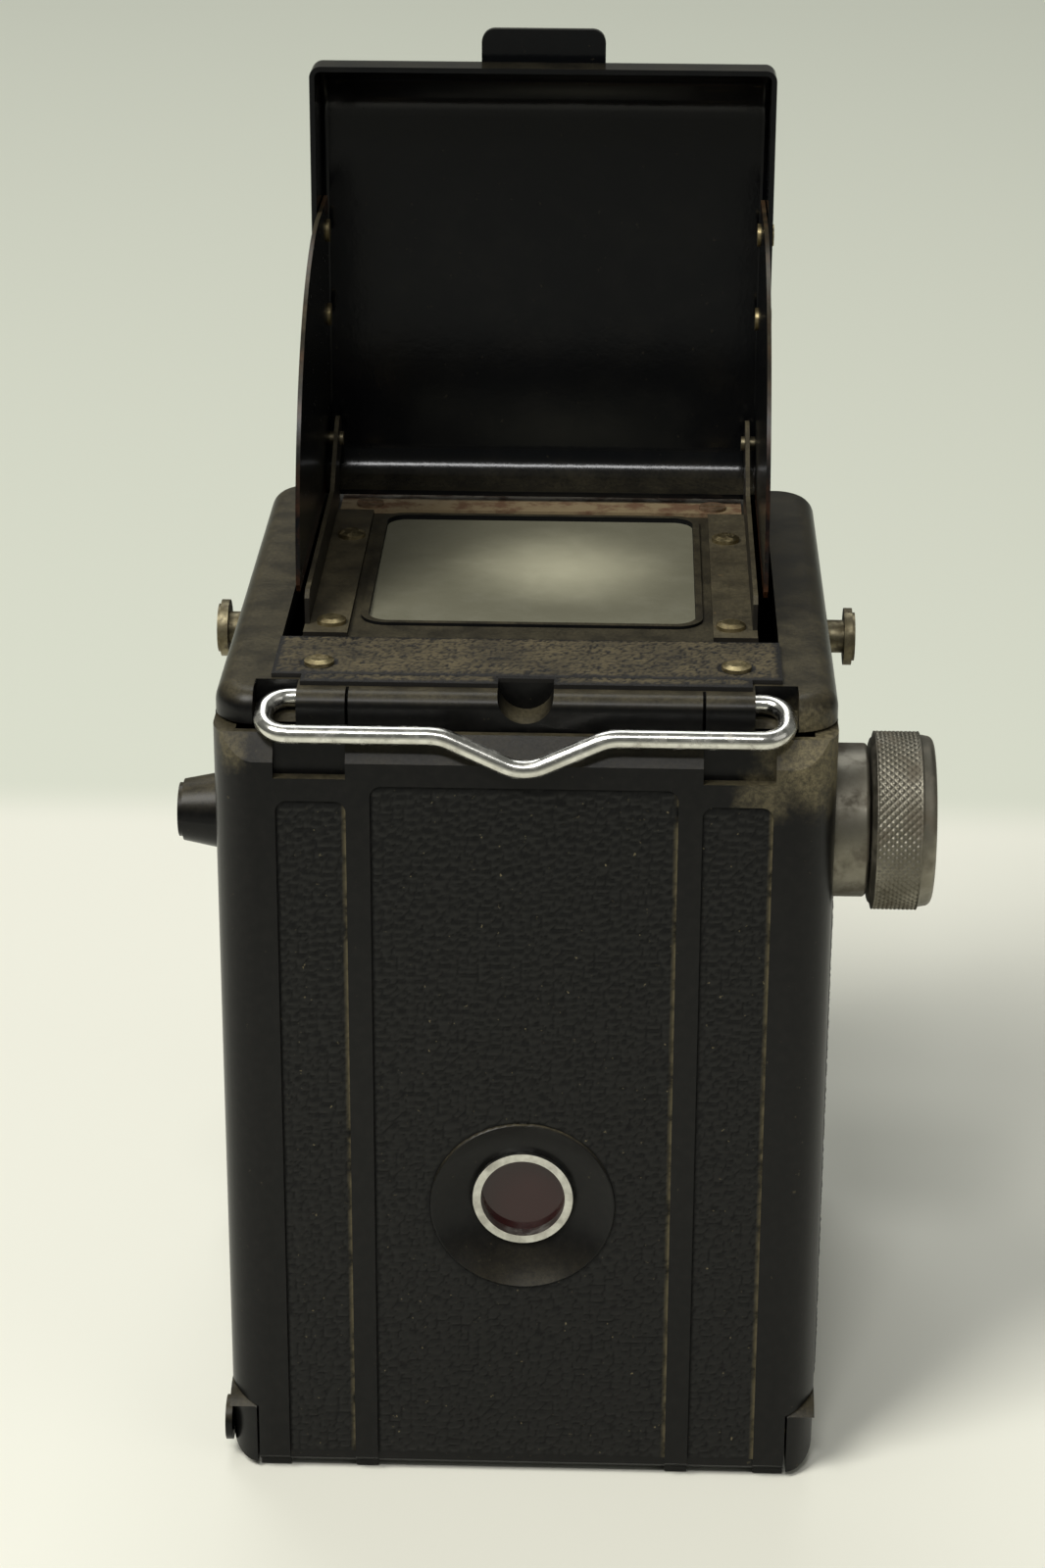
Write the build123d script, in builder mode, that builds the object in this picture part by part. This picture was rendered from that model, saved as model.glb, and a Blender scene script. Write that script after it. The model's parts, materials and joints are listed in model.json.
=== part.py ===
from build123d import *
from math import atan2, cos, degrees, radians, sin, sqrt
import os

# Twin lens reflex camera for 120 roll film, 6x6 format, in millimetres.
# Frame: the origin is the mouth of the tripod socket, +Z is up, the lenses face -Y
# and the film door faces +Y. The winding knob is on the -X side.

# ---- driving dimensions ----

HALF_WIDTH = 39.0
FRONT_Y = -45.0
REAR_Y = 45.0
FLOOR_Z = 1.0  # the shell stands this high on its foot ribs
ROOF_Z = 110.5
WALL = 3.0
CORNER_R = 5.5
ROOF_EDGE_R = 2.6
CLEARANCE = 0.3
PANEL_DEPTH = 0.4  # recessed grained panels

DOOR_JOINT_Y = 37.0  # the door's side walls end here
DOOR_TOP_Z = 106.0
LIP_Z = 106.4  # underside of the roof's rear lip
LIP_REAR_Y = 41.5
DOOR_AXIS_Y = 40.0
DOOR_AXIS_Z = 5.0
KNUCKLE_R = 4.0
LUG_R = 6.4
DOOR_SWING_R = 6.8
BOSS_PROUD = 0.9
BOTTOM_R = 3.0  # lower corners, seen from behind
LUG_INNER_X = 35.4

RIDGE_FRONT_Y = 35.2
NOTCH_HALF_WIDTH = 3.5  # thumb notch in the ridge
NOTCH_FRONT_Y = 36.4
NOTCH_BOTTOM_Z = 107.0
BAIL_AXIS_Y = 38.0
BAIL_AXIS_Z = 108.7
BAIL_WIRE_R = 1.2
BAIL_BLOCK_X = 28.5
POCKET_OUTER_X = 33.9

ROOF_OPENING_X = 32.0
ROOF_OPENING_FRONT_Y = -42.0
ROOF_OPENING_REAR_Y = 22.0
FINDER_HALF_WIDTH = 29.4

TAKING_Z = 44.0
VIEWING_Z = 88.0
GEAR_PITCH_R = (VIEWING_Z - TAKING_Z) / 2
GATE_SIZE = 56.0
FILM_Y = 37.5

SPOOL_FLANGE_R = 12.65
SPOOL_CORE_R = 5.8
SPOOL_BORE_R = 2.6
SPOOL_HALF_LENGTH = 32.75
SPOOL_FLANGE_T = 1.5
TAKE_UP_Y = 29.0
TAKE_UP_Z = 89.5
SUPPLY_Y = -28.0
SUPPLY_Z = 16.8

HOOD_AXIS_Y = -35.0
HOOD_AXIS_Z = 120.0
HOOD_HALF_WIDTH = 31.5
HOOD_SHEET = 0.7
HOOD_EDGE_R = 1.5
HOOD_BOTTOM_Z = 112.0
HOOD_TOP_Z = 174.4
HOOD_RIM_Y = -27.3
HOOD_PANEL_Y = -40.0
WING_X = 30.1
WING_SHEET = 0.55

SCREEN_Y = -6.6
SCREEN_LENGTH = 43.6
SCREEN_WIDTH = 42.8

WINDOW_Z = 40.8
FUNNEL_R = 11.35
FUNNEL_BALL_OUT = 15.8

os.makedirs("parts", exist_ok=True)


# ---- helpers ----


def back_plane(y):
    """Plane at depth y: local x is +X, local y is +Z, and an extrusion runs to -Y."""
    return Plane.XZ.offset(-y)


def side_plane(x):
    """Plane at width x: local x is +Y, local y is +Z, and an extrusion runs to +X."""
    return Plane.YZ.offset(x)


def level(z):
    """Horizontal plane at height z."""
    return Plane.XY.offset(z)


def span(low, high, mode=Mode.ADD):
    """Rectangle between two corners, for the sketch that is open."""
    width = high[0] - low[0]
    height = high[1] - low[1]
    with Locations(((low[0] + high[0]) / 2, (low[1] + high[1]) / 2)):
        return Rectangle(width, height, mode=mode)


def slab(low, high, mode=Mode.ADD):
    """Box between two corners, for the part that is open."""
    centre = [(low[i] + high[i]) / 2 for i in range(3)]
    size = [high[i] - low[i] for i in range(3)]
    with Locations(tuple(centre)):
        return Box(*size, mode=mode)


def rod_x(x0, x1, y, z, radius, mode=Mode.ADD):
    """Cylinder along X between two stations."""
    with BuildSketch(side_plane(x0)) as disc:
        with Locations((y, z)):
            Circle(radius)
    extrude(disc.sketch, amount=x1 - x0, mode=mode)


def rod_y(y0, y1, x, z, radius, mode=Mode.ADD):
    """Cylinder along -Y from y0 to y1, where y1 is nearer the front."""
    with BuildSketch(back_plane(y0)) as disc:
        with Locations((x, z)):
            Circle(radius)
    extrude(disc.sketch, amount=y0 - y1, mode=mode)


def rounded_corner_cuts(bottom_z):
    """Rounds the lower rear corners of the piece being built, in plan and as seen from behind."""
    for side in (-1, 1):
        edge = side * HALF_WIDTH
        with BuildSketch(level(bottom_z - 1)) as plan_corner:
            with Locations((edge - side * CORNER_R / 2, REAR_Y - CORNER_R / 2)):
                Rectangle(CORNER_R, CORNER_R)
            with Locations((edge - side * CORNER_R, REAR_Y - CORNER_R)):
                Circle(CORNER_R, mode=Mode.SUBTRACT)
        extrude(plan_corner.sketch, amount=10.5 - bottom_z, mode=Mode.SUBTRACT)
        with BuildSketch(back_plane(REAR_Y + 1)) as rear_corner:
            with Locations((edge - side * BOTTOM_R / 2, bottom_z + BOTTOM_R / 2)):
                Rectangle(BOTTOM_R, BOTTOM_R)
            with Locations((edge - side * BOTTOM_R, bottom_z + BOTTOM_R)):
                Circle(BOTTOM_R, mode=Mode.SUBTRACT)
        extrude(rear_corner.sketch, amount=1 + REAR_Y - DOOR_JOINT_Y, mode=Mode.SUBTRACT)


def finish(piece, name):
    """Label one finished sub-part and write its STEP file."""
    piece.part.label = name
    export_step(piece.part, f"parts/{name}.step")


# ---- body shell ----

with BuildPart() as body_shell:
    with BuildSketch(level(FLOOR_Z)) as lower_outline:
        span((-HALF_WIDTH, FRONT_Y), (HALF_WIDTH, DOOR_JOINT_Y - 0.15))
        fillet(lower_outline.vertices().group_by(Axis.Y)[0], CORNER_R)
    extrude(amount=LIP_Z - FLOOR_Z)
    with BuildSketch(level(LIP_Z)) as roof_outline:
        span((-HALF_WIDTH, FRONT_Y), (HALF_WIDTH, LIP_REAR_Y))
        fillet(roof_outline.vertices(), CORNER_R)
    extrude(amount=ROOF_Z - LIP_Z)
    fillet(body_shell.faces().sort_by(Axis.Z)[-1].edges(), ROOF_EDGE_R)
    fillet(body_shell.faces().sort_by(Axis.Z)[0].edges().group_by(Axis.Y)[:-1][0], 1.6)
    # rear ridge that carries the latch wire
    with BuildSketch(side_plane(-BAIL_BLOCK_X)) as ridge_profile:
        span((RIDGE_FRONT_Y, 104.9), (LIP_REAR_Y + 0.1, ROOF_Z))
        fillet(ridge_profile.vertices().sort_by(Axis.Y)[-2:], 1.9)
    extrude(amount=2 * BAIL_BLOCK_X)
    # inside of the shell, open to the rear
    slab((-36, -42, 4), (36, RIDGE_FRONT_Y, 107.5), Mode.SUBTRACT)
    slab((-36, RIDGE_FRONT_Y - 1, 4), (36, DOOR_JOINT_Y + 1, 104.6), Mode.SUBTRACT)
    # finder opening in the roof
    slab(
        (-ROOF_OPENING_X, ROOF_OPENING_FRONT_Y, 107),
        (ROOF_OPENING_X, ROOF_OPENING_REAR_Y, 112),
        Mode.SUBTRACT,
    )
    # pockets beside the ridge, where the wire loops swing
    for side in (-1, 1):
        start = BAIL_BLOCK_X if side > 0 else -POCKET_OUTER_X
        with BuildSketch(side_plane(start)):
            with BuildLine():
                Polyline((36.3, 107.3), (39.2, 107.1), (42.0, 105.5), (42.0, 113), (36.3, 113), close=True)
            make_face()
        extrude(amount=POCKET_OUTER_X - BAIL_BLOCK_X, mode=Mode.SUBTRACT)
        rod_x(side * 24.5, side * (BAIL_BLOCK_X + 0.5), BAIL_AXIS_Y, BAIL_AXIS_Z, BAIL_WIRE_R + 0.05,
              Mode.SUBTRACT)
        # groove between the pivot block and the ridge
        slab((side * 22.2 - 0.2, 38.6, 104), (side * 22.2 + 0.2, 43, 112), Mode.SUBTRACT)
    # thumb notch
    with BuildSketch(back_plane(LIP_REAR_Y + 1)):
        with Locations((0, NOTCH_BOTTOM_Z + 6.0)):
            SlotOverall(12, 2 * NOTCH_HALF_WIDTH, rotation=90)
    extrude(amount=LIP_REAR_Y + 1 - NOTCH_FRONT_Y, mode=Mode.SUBTRACT)
    # lens openings in the front wall
    rod_y(FRONT_Y + 4, FRONT_Y - 1, 0, TAKING_Z, 15.0, Mode.SUBTRACT)
    rod_y(FRONT_Y + 4, FRONT_Y - 1, 0, VIEWING_Z, 13.5, Mode.SUBTRACT)
    # relief for the door's knuckle
    rod_x(-HALF_WIDTH - 1, HALF_WIDTH + 1, DOOR_AXIS_Y, DOOR_AXIS_Z, KNUCKLE_R + 0.35, Mode.SUBTRACT)
    # room between the lugs for the door's bottom edge to swing in
    rod_x(-LUG_INNER_X, LUG_INNER_X, DOOR_AXIS_Y, DOOR_AXIS_Z, DOOR_SWING_R, Mode.SUBTRACT)
    # recessed panels on the two sides
    for side in (-1, 1):
        with BuildSketch(side_plane(side * (HALF_WIDTH - PANEL_DEPTH))) as side_panel:
            span((-38.0, 8.0), (31.0, 98.0))
            fillet(side_panel.vertices(), 2.0)
        extrude(amount=side * 2 * PANEL_DEPTH, mode=Mode.SUBTRACT)
    # foot ribs
    for x0, x1 in ((-37.5, -31.0), (-22.2, -19.2), (19.2, 22.2), (31.0, 37.5)):
        slab((x0, -42.0, 0), (x1, 33.0, FLOOR_Z))
    # hinge lugs at the two lower corners, shaped like the door's own corners
    for start in (-HALF_WIDTH, LUG_INNER_X):
        with BuildSketch(side_plane(start)) as lug_profile:
            with Locations((DOOR_AXIS_Y, DOOR_AXIS_Z)):
                Circle(LUG_R)
            span((32.0, FLOOR_Z), (DOOR_AXIS_Y, 8.6))
            span((REAR_Y, -3.0), (REAR_Y + 3, 12.0), Mode.SUBTRACT)
            span((30.0, -3.0), (REAR_Y + 3, FLOOR_Z), Mode.SUBTRACT)
        extrude(amount=HALF_WIDTH - LUG_INNER_X)
    # hinge boss standing out of the +X side
    rod_x(HALF_WIDTH - 1.5, HALF_WIDTH + BOSS_PROUD, DOOR_AXIS_Y, DOOR_AXIS_Z, 3.0)
    rounded_corner_cuts(FLOOR_Z)
    rod_x(-HALF_WIDTH + 0.8, HALF_WIDTH - 0.8, DOOR_AXIS_Y, DOOR_AXIS_Z, 1.05, Mode.SUBTRACT)
    # tripod socket seat, shaft holes and stud holes
    with BuildSketch(level(-1)):
        Circle(8.0)
    extrude(amount=6, mode=Mode.SUBTRACT)
    rod_x(-HALF_WIDTH - 1, -35, TAKE_UP_Y, TAKE_UP_Z, 3.05, Mode.SUBTRACT)
    rod_x(35, HALF_WIDTH + 1, TAKE_UP_Y, TAKE_UP_Z, 2.06, Mode.SUBTRACT)
    rod_x(35, HALF_WIDTH + 1, SUPPLY_Y, SUPPLY_Z, 2.06, Mode.SUBTRACT)
    rod_x(-37.5, -35, SUPPLY_Y, SUPPLY_Z, 2.0, Mode.SUBTRACT)
    for side in (-1, 1):
        rod_x(side * 35, side * 40, -8.0, 101.0, 1.6, Mode.SUBTRACT)
finish(body_shell, "body_shell")

# ---- film door and its latch ----

with BuildPart() as back_door:
    with BuildSketch(level(FLOOR_Z)) as door_outline:
        span((-HALF_WIDTH, DOOR_JOINT_Y), (HALF_WIDTH, REAR_Y))
        fillet(door_outline.vertices().group_by(Axis.Y)[-1], CORNER_R)
    extrude(amount=DOOR_TOP_Z - FLOOR_Z)
    # bevelled top edge for the wire, and a rounded bottom edge
    with BuildSketch(side_plane(-HALF_WIDTH - 1)):
        Polygon((REAR_Y - 2.0, DOOR_TOP_Z), (REAR_Y + 1, DOOR_TOP_Z), (REAR_Y + 1, 102.7),
                (REAR_Y, 102.7), align=None)
    extrude(amount=2 * HALF_WIDTH + 2, mode=Mode.SUBTRACT)
    # hollow between the side walls
    slab((-36, DOOR_JOINT_Y - 1, -1), (36, REAR_Y - WALL, DOOR_TOP_Z + 1), Mode.SUBTRACT)
    # latch recesses in the top edge
    for side in (-1, 1):
        x0, x1 = sorted((side * 22.2, side * 31.2))
        slab((x0, REAR_Y - 1.6, 100.6), (x1, REAR_Y + 1, DOOR_TOP_Z + 1), Mode.SUBTRACT)
    # grained panels run down to and under the bottom edge
    with BuildSketch(back_plane(REAR_Y)) as panels:
        span((-19.2, -2.0), (19.2, 99.7))
        span((22.2, -2.0), (31.0, 97.6))
        span((-31.0, -2.0), (-22.2, 97.6))
        fillet(panels.vertices().filter_by_position(Axis.Y, 90, 110), 1.5)
    extrude(amount=PANEL_DEPTH, mode=Mode.SUBTRACT)
    # boss and funnel of the film window
    rod_y(REAR_Y - WALL, REAR_Y - 4.9, 0, WINDOW_Z, 13.0)
    with Locations(Location((0, REAR_Y - PANEL_DEPTH, WINDOW_Z), (90, 0, 0))):
        Torus(FUNNEL_R + 0.35, 0.38)
    # a ball of this size meets the panel at the lip and the window's throat at the ring
    with Locations((0, REAR_Y - PANEL_DEPTH + FUNNEL_BALL_OUT, WINDOW_Z)):
        Sphere((FUNNEL_R**2 + FUNNEL_BALL_OUT**2) ** 0.5, mode=Mode.SUBTRACT)
    rod_y(REAR_Y - 2.9, REAR_Y - 5.0, 0, WINDOW_Z, 6.6, Mode.SUBTRACT)
    # hinge knuckle along the bottom, clear of the lugs at both ends
    slab((-36, DOOR_AXIS_Y, FLOOR_Z), (36, REAR_Y - WALL, DOOR_AXIS_Z))
    rod_x(-HALF_WIDTH, HALF_WIDTH, DOOR_AXIS_Y, DOOR_AXIS_Z, KNUCKLE_R)
    for start in (-HALF_WIDTH - 1, LUG_INNER_X - 0.3):
        rod_x(start, start + HALF_WIDTH + 1.3 - LUG_INNER_X, DOOR_AXIS_Y, DOOR_AXIS_Z, LUG_R + 0.3,
              Mode.SUBTRACT)
    rod_x(-HALF_WIDTH, HALF_WIDTH, DOOR_AXIS_Y, DOOR_AXIS_Z, 1.06, Mode.SUBTRACT)
    # the door's outer bottom corner keeps clear of the floor as it swings
    with BuildSketch(side_plane(-HALF_WIDTH)):
        Polygon((REAR_Y - 1.2, FLOOR_Z - 1), (REAR_Y + 1, FLOOR_Z - 1), (REAR_Y + 1, FLOOR_Z + 1.2),
                (REAR_Y, FLOOR_Z + 1.2), (REAR_Y - 1.2, FLOOR_Z), align=None)
    extrude(amount=2 * HALF_WIDTH, mode=Mode.SUBTRACT)
    # ribs end in low feet
    for x0, x1 in ((-35.0, -31.0), (-22.2, -19.2), (19.2, 22.2), (31.0, 35.0)):
        slab((x0, REAR_Y - 3.0, FLOOR_Z - 0.7), (x1, REAR_Y - 1.2, FLOOR_Z + 0.5))
finish(back_door, "back_door")

with BuildPart() as door_hinge_pin:
    rod_x(-HALF_WIDTH + 1, HALF_WIDTH - 1, DOOR_AXIS_Y, DOOR_AXIS_Z, 1.0)
finish(door_hinge_pin, "door_hinge_pin")

with BuildPart() as window_ring:
    rod_y(REAR_Y - 2.2, REAR_Y - 4.0, 0, WINDOW_Z, 6.55)
    rod_y(REAR_Y - 2.0, REAR_Y - 4.2, 0, WINDOW_Z, 5.5, Mode.SUBTRACT)
finish(window_ring, "window_ring")

with BuildPart() as window_glass:
    rod_y(REAR_Y - 4.0, REAR_Y - 4.9, 0, WINDOW_Z, 6.55)
finish(window_glass, "window_glass")

with BuildPart() as pressure_plate:
    with BuildSketch(back_plane(REAR_Y - 5.9)) as plate_outline:
        span((-31.0, 15.5), (31.0, 72.5))
        fillet(plate_outline.vertices(), 3.0)
        with Locations((0, WINDOW_Z)):
            Circle(6.0, mode=Mode.SUBTRACT)
    extrude(amount=0.8)
    # guide tongues bent back towards the door
    for x in (-27.0, 27.0):
        for z in (22.0, 66.0):
            slab((x - 2.0, REAR_Y - 5.95, z - 0.4), (x + 2.0, REAR_Y - 4.4, z + 0.4))
finish(pressure_plate, "pressure_plate")

with BuildPart() as pressure_springs:
    for z in (24.0, 60.0):
        # a bowed leaf, feet on the door and crown at the plate
        with BuildSketch(level(z)) as leaf:
            with BuildLine():
                outer = ThreePointArc((-20, REAR_Y - 3.2), (0, REAR_Y - 5.8), (20, REAR_Y - 3.2))
                Line(outer @ 1, (20, REAR_Y - 3.0))
                inner = ThreePointArc((20, REAR_Y - 3.0), (0, REAR_Y - 5.55), (-20, REAR_Y - 3.0))
                Line(inner @ 1, outer @ 0)
            make_face()
        extrude(amount=6.0)
finish(pressure_springs, "pressure_springs")


def wire_route():
    """Centre line of the latch wire, from its end in one block round to the other."""
    loop_y = REAR_Y + 0.1
    loop_z = 106.6
    half = [
        (25.0, BAIL_AXIS_Y, BAIL_AXIS_Z),
        (32.5, BAIL_AXIS_Y, BAIL_AXIS_Z),
        (32.5, loop_y, loop_z),
        (10.4, loop_y, loop_z),
        (0.0, REAR_Y + 1.7, 102.4),
    ]
    left = [(-x, y, z) for x, y, z in reversed(half[:-1])]
    return half + left


with BuildPart() as bail:
    with BuildLine() as route:
        FilletPolyline(*wire_route(), radius=[3.2, 3.2, 7.0, 6.0, 7.0, 3.2, 3.2])
    with BuildSketch(Plane(route.line @ 0, z_dir=route.line % 0)):
        Circle(BAIL_WIRE_R)
    sweep()
finish(bail, "bail")


# ---- film path ----


def box_ring(y, outer_half, inner_half):
    """Square ring outline on a back plane, centred on the taking axis."""
    with BuildSketch(back_plane(y)) as ring:
        with Locations((0, TAKING_Z)):
            Rectangle(2 * outer_half, 2 * outer_half)
            Rectangle(2 * inner_half, 2 * inner_half, mode=Mode.SUBTRACT)
    return ring.sketch


with BuildPart() as film_chamber:
    # tapering part of the light cone, then its square front tube over the supply spool
    for size, mode in ((29.3, Mode.ADD), (28.0, Mode.SUBTRACT)):
        step = 1.2 if mode is Mode.SUBTRACT else 0.0
        with BuildSketch(back_plane(35.3)):
            with Locations((0, TAKING_Z)):
                Rectangle(2 * size, 2 * size)
        with BuildSketch(back_plane(-16.0)):
            with Locations((0, TAKING_Z)):
                Rectangle(2 * (13.7 - step), 2 * (13.7 - step))
        loft(mode=mode)
    extrude(box_ring(-16.0, 13.7, 12.5), amount=25.8)
    # gate plate with its film rails
    with BuildSketch(back_plane(36.8)):
        span((-35.2, 14.0), (35.2, 73.4))
        with Locations((0, TAKING_Z)):
            Rectangle(GATE_SIZE, GATE_SIZE, mode=Mode.SUBTRACT)
    extrude(amount=1.5)
    for side in (-1, 1):
        x0, x1 = sorted((side * 28.8, side * 31.4))
        slab((x0, 36.8, 15.0), (x1, FILM_Y, 72.8))
        # ears that carry the two film rollers
        x0, x1 = sorted((side * 33.2, side * 35.2))
        slab((x0, 32.5, 9.1), (x1, 36.8, 14.5))
        slab((x0, 33.4, 73.0), (x1, 36.8, 77.6))
    for y, z in ((35.0, 11.5), (35.5, 75.8)):
        rod_x(-34.8, 34.8, y, z, 1.05, Mode.SUBTRACT)
finish(film_chamber, "film_chamber")

for name, y, z, radius in (("film_roller_lower", 35.0, 11.5, 2.5), ("film_roller_upper", 35.5, 75.8, 2.0)):
    with BuildPart() as roller:
        rod_x(-34.7, 34.7, y, z, 1.0)
        rod_x(-32.8, -27.0, y, z, radius)
        rod_x(27.0, 32.8, y, z, radius)
        rod_x(-27.0, 27.0, y, z, radius - 0.4)
    finish(roller, name)

with BuildPart() as take_up_spool:
    FLANGE_INNER_X = SPOOL_HALF_LENGTH - SPOOL_FLANGE_T
    rod_x(-SPOOL_HALF_LENGTH, -FLANGE_INNER_X, TAKE_UP_Y, TAKE_UP_Z, SPOOL_FLANGE_R)
    rod_x(FLANGE_INNER_X, SPOOL_HALF_LENGTH, TAKE_UP_Y, TAKE_UP_Z, SPOOL_FLANGE_R)
    rod_x(-FLANGE_INNER_X, FLANGE_INNER_X, TAKE_UP_Y, TAKE_UP_Z, SPOOL_CORE_R)
    rod_x(-SPOOL_HALF_LENGTH, SPOOL_HALF_LENGTH, TAKE_UP_Y, TAKE_UP_Z, SPOOL_BORE_R, Mode.SUBTRACT)
    # drive slots in both ends, and the slit that takes the end of the paper
    for x0 in (-SPOOL_HALF_LENGTH - 1, SPOOL_HALF_LENGTH - 3):
        slab((x0, TAKE_UP_Y - 1.2, TAKE_UP_Z - 4.6), (x0 + 4, TAKE_UP_Y + 1.2, TAKE_UP_Z + 4.6), Mode.SUBTRACT)
    slab((-22, TAKE_UP_Y - 0.6, TAKE_UP_Z - 9), (22, TAKE_UP_Y + 0.6, TAKE_UP_Z + 9), Mode.SUBTRACT)
finish(take_up_spool, "take_up_spool")

with BuildPart() as supply_pivot:
    rod_x(-37.4, -36.0, SUPPLY_Y, SUPPLY_Z, 1.95)
    rod_x(-36.0, -33.1, SUPPLY_Y, SUPPLY_Z, 4.0)
    rod_x(-33.1, -30.6, SUPPLY_Y, SUPPLY_Z, 2.52)
finish(supply_pivot, "supply_pivot")

# ---- spool knobs on the +X side: pulled out to free a spool ----

for name, y, z in (("spool_knob_upper", TAKE_UP_Y, TAKE_UP_Z), ("spool_knob_lower", SUPPLY_Y, SUPPLY_Z)):
    with BuildPart() as pull_knob:
        rod_x(30.85, 33.1, y, z, 2.52)
        rod_x(33.1, 33.7, y, z, 4.0)
        rod_x(33.7, 39.4, y, z, 2.0)
        with BuildSketch(side_plane(39.3)):
            with Locations((y, z)):
                Circle(5.0)
        with BuildSketch(side_plane(44.3)):
            with Locations((y, z)):
                Circle(4.0)
        loft()
        rod_x(44.3, 44.9, y, z, 3.5)
    finish(pull_knob, name)

with BuildPart() as knob_springs:
    for y, z in ((TAKE_UP_Y, TAKE_UP_Z), (SUPPLY_Y, SUPPLY_Z)):
        with BuildLine() as coil:
            Helix(pitch=0.75, height=1.7, radius=3.0, center=(34.0, y, z), direction=(1, 0, 0))
        with BuildSketch(Plane(coil.line @ 0, z_dir=coil.line % 0)):
            Circle(0.22)
        sweep()
finish(knob_springs, "knob_springs")

# ---- winding knob ----

with BuildPart() as knob_collar:
    rod_x(-43.5, -39.0, TAKE_UP_Y, TAKE_UP_Z, 9.9)
    fillet(knob_collar.edges().sort_by(Axis.X)[0], 0.5)
    rod_x(-44.0, -38.0, TAKE_UP_Y, TAKE_UP_Z, 3.1, Mode.SUBTRACT)
finish(knob_collar, "knob_collar")

with BuildPart() as wind_shaft:
    rod_x(-50.0, -33.2, TAKE_UP_Y, TAKE_UP_Z, 3.0)
    rod_x(-33.2, -30.4, TAKE_UP_Y, TAKE_UP_Z, 2.52)
    slab((-33.3, TAKE_UP_Y - 1.0, TAKE_UP_Z - 4.2), (-30.4, TAKE_UP_Y + 1.0, TAKE_UP_Z + 4.2))
finish(wind_shaft, "wind_shaft")

with BuildPart() as wind_knob:
    rod_x(-50.2, -43.8, TAKE_UP_Y, TAKE_UP_Z, 11.5)
    rod_x(-51.9, -50.2, TAKE_UP_Y, TAKE_UP_Z, 11.5)
    chamfer(wind_knob.edges().sort_by(Axis.X)[0], 1.7, 1.25)
    rod_x(-53.0, -51.4, TAKE_UP_Y, TAKE_UP_Z, 8.6, Mode.SUBTRACT)
    rod_x(-50.0, -43.0, TAKE_UP_Y, TAKE_UP_Z, 3.0, Mode.SUBTRACT)
finish(wind_knob, "wind_knob")

# ---- finder: mirror box, mirror, screen ----

MIRROR_LINE = 93.5  # the silvered face lies on z = y + MIRROR_LINE
BOX_TOP_Z = 107.3

with BuildPart() as finder_box:
    with BuildSketch(side_plane(-FINDER_HALF_WIDTH)):
        Polygon((-41.9, 62.0), (-27.2, 62.0), (18.1, BOX_TOP_Z), (-41.9, BOX_TOP_Z), align=None)
    extrude(amount=2 * FINDER_HALF_WIDTH)
    with BuildSketch(side_plane(-28.0)):
        Polygon((-43.0, 63.6), (-27.6, 63.6), (17.4, 108.6), (-43.0, 108.6), align=None)
    extrude(amount=56.0, mode=Mode.SUBTRACT)
finish(finder_box, "finder_box")

with BuildPart() as finder_mirror:
    with BuildSketch(side_plane(-27.6)):
        Polygon((-28.4, 65.1), (11.9, 105.4), (13.0, 104.3), (-27.3, 64.0), align=None)
    extrude(amount=55.2)
finish(finder_mirror, "finder_mirror")

with BuildPart() as finder_plate:
    with BuildSketch(level(BOX_TOP_Z + 0.2)):
        span((-FINDER_HALF_WIDTH, -41.7), (FINDER_HALF_WIDTH, 21.7))
        with Locations((0, SCREEN_Y)):
            RectangleRounded(SCREEN_WIDTH + 2.0, SCREEN_LENGTH + 2.0, 3.6, mode=Mode.SUBTRACT)
    extrude(amount=ROOF_Z - BOX_TOP_Z - 0.2)
finish(finder_plate, "finder_plate")

with BuildPart() as screen_frame:
    with BuildSketch(level(BOX_TOP_Z + 0.2)):
        with Locations((0, SCREEN_Y)):
            RectangleRounded(SCREEN_WIDTH + 1.9, SCREEN_LENGTH + 1.9, 3.5)
            RectangleRounded(SCREEN_WIDTH - 1.6, SCREEN_LENGTH - 1.6, 2.4, mode=Mode.SUBTRACT)
    extrude(amount=0.7)
    with BuildSketch(level(BOX_TOP_Z + 0.9)):
        with Locations((0, SCREEN_Y)):
            RectangleRounded(SCREEN_WIDTH + 1.9, SCREEN_LENGTH + 1.9, 3.5)
            RectangleRounded(SCREEN_WIDTH + 0.1, SCREEN_LENGTH + 0.1, 2.9, mode=Mode.SUBTRACT)
    extrude(amount=ROOF_Z + 0.4 - BOX_TOP_Z - 0.9)
finish(screen_frame, "screen_frame")

with BuildPart() as finder_glass:
    # plano-convex field lens under a flat top plate, one piece of glass
    LENS_R = 165.0
    with Locations((0, SCREEN_Y, BOX_TOP_Z - 1.8 + LENS_R)):
        Sphere(LENS_R)
    with BuildSketch(level(BOX_TOP_Z - 3)):
        with Locations((0, SCREEN_Y)):
            RectangleRounded(SCREEN_WIDTH - 2.2, SCREEN_LENGTH - 2.2, 2.2)
    extrude(amount=3.95, mode=Mode.INTERSECT)
    with BuildSketch(level(BOX_TOP_Z + 0.9)):
        with Locations((0, SCREEN_Y)):
            RectangleRounded(SCREEN_WIDTH, SCREEN_LENGTH, 2.8)
    extrude(amount=2.0)
finish(finder_glass, "finder_glass")

# ---- roof trim ----

with BuildPart() as rear_strip:
    with BuildSketch(level(ROOF_Z)) as strip_outline:
        span((-32.0, ROOF_OPENING_REAR_Y + 0.2), (32.0, 35.8))
        span((-28.2, 35.0), (28.2, 38.4))
        with Locations((0, NOTCH_FRONT_Y + 3)):
            Rectangle(2 * NOTCH_HALF_WIDTH, 6, mode=Mode.SUBTRACT)
    extrude(amount=0.55)
    for x in (-26.3, 26.3):
        with Locations((x, 32.0, ROOF_Z)):
            Cylinder(0.9, 3.0, mode=Mode.SUBTRACT)
finish(rear_strip, "rear_strip")


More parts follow.
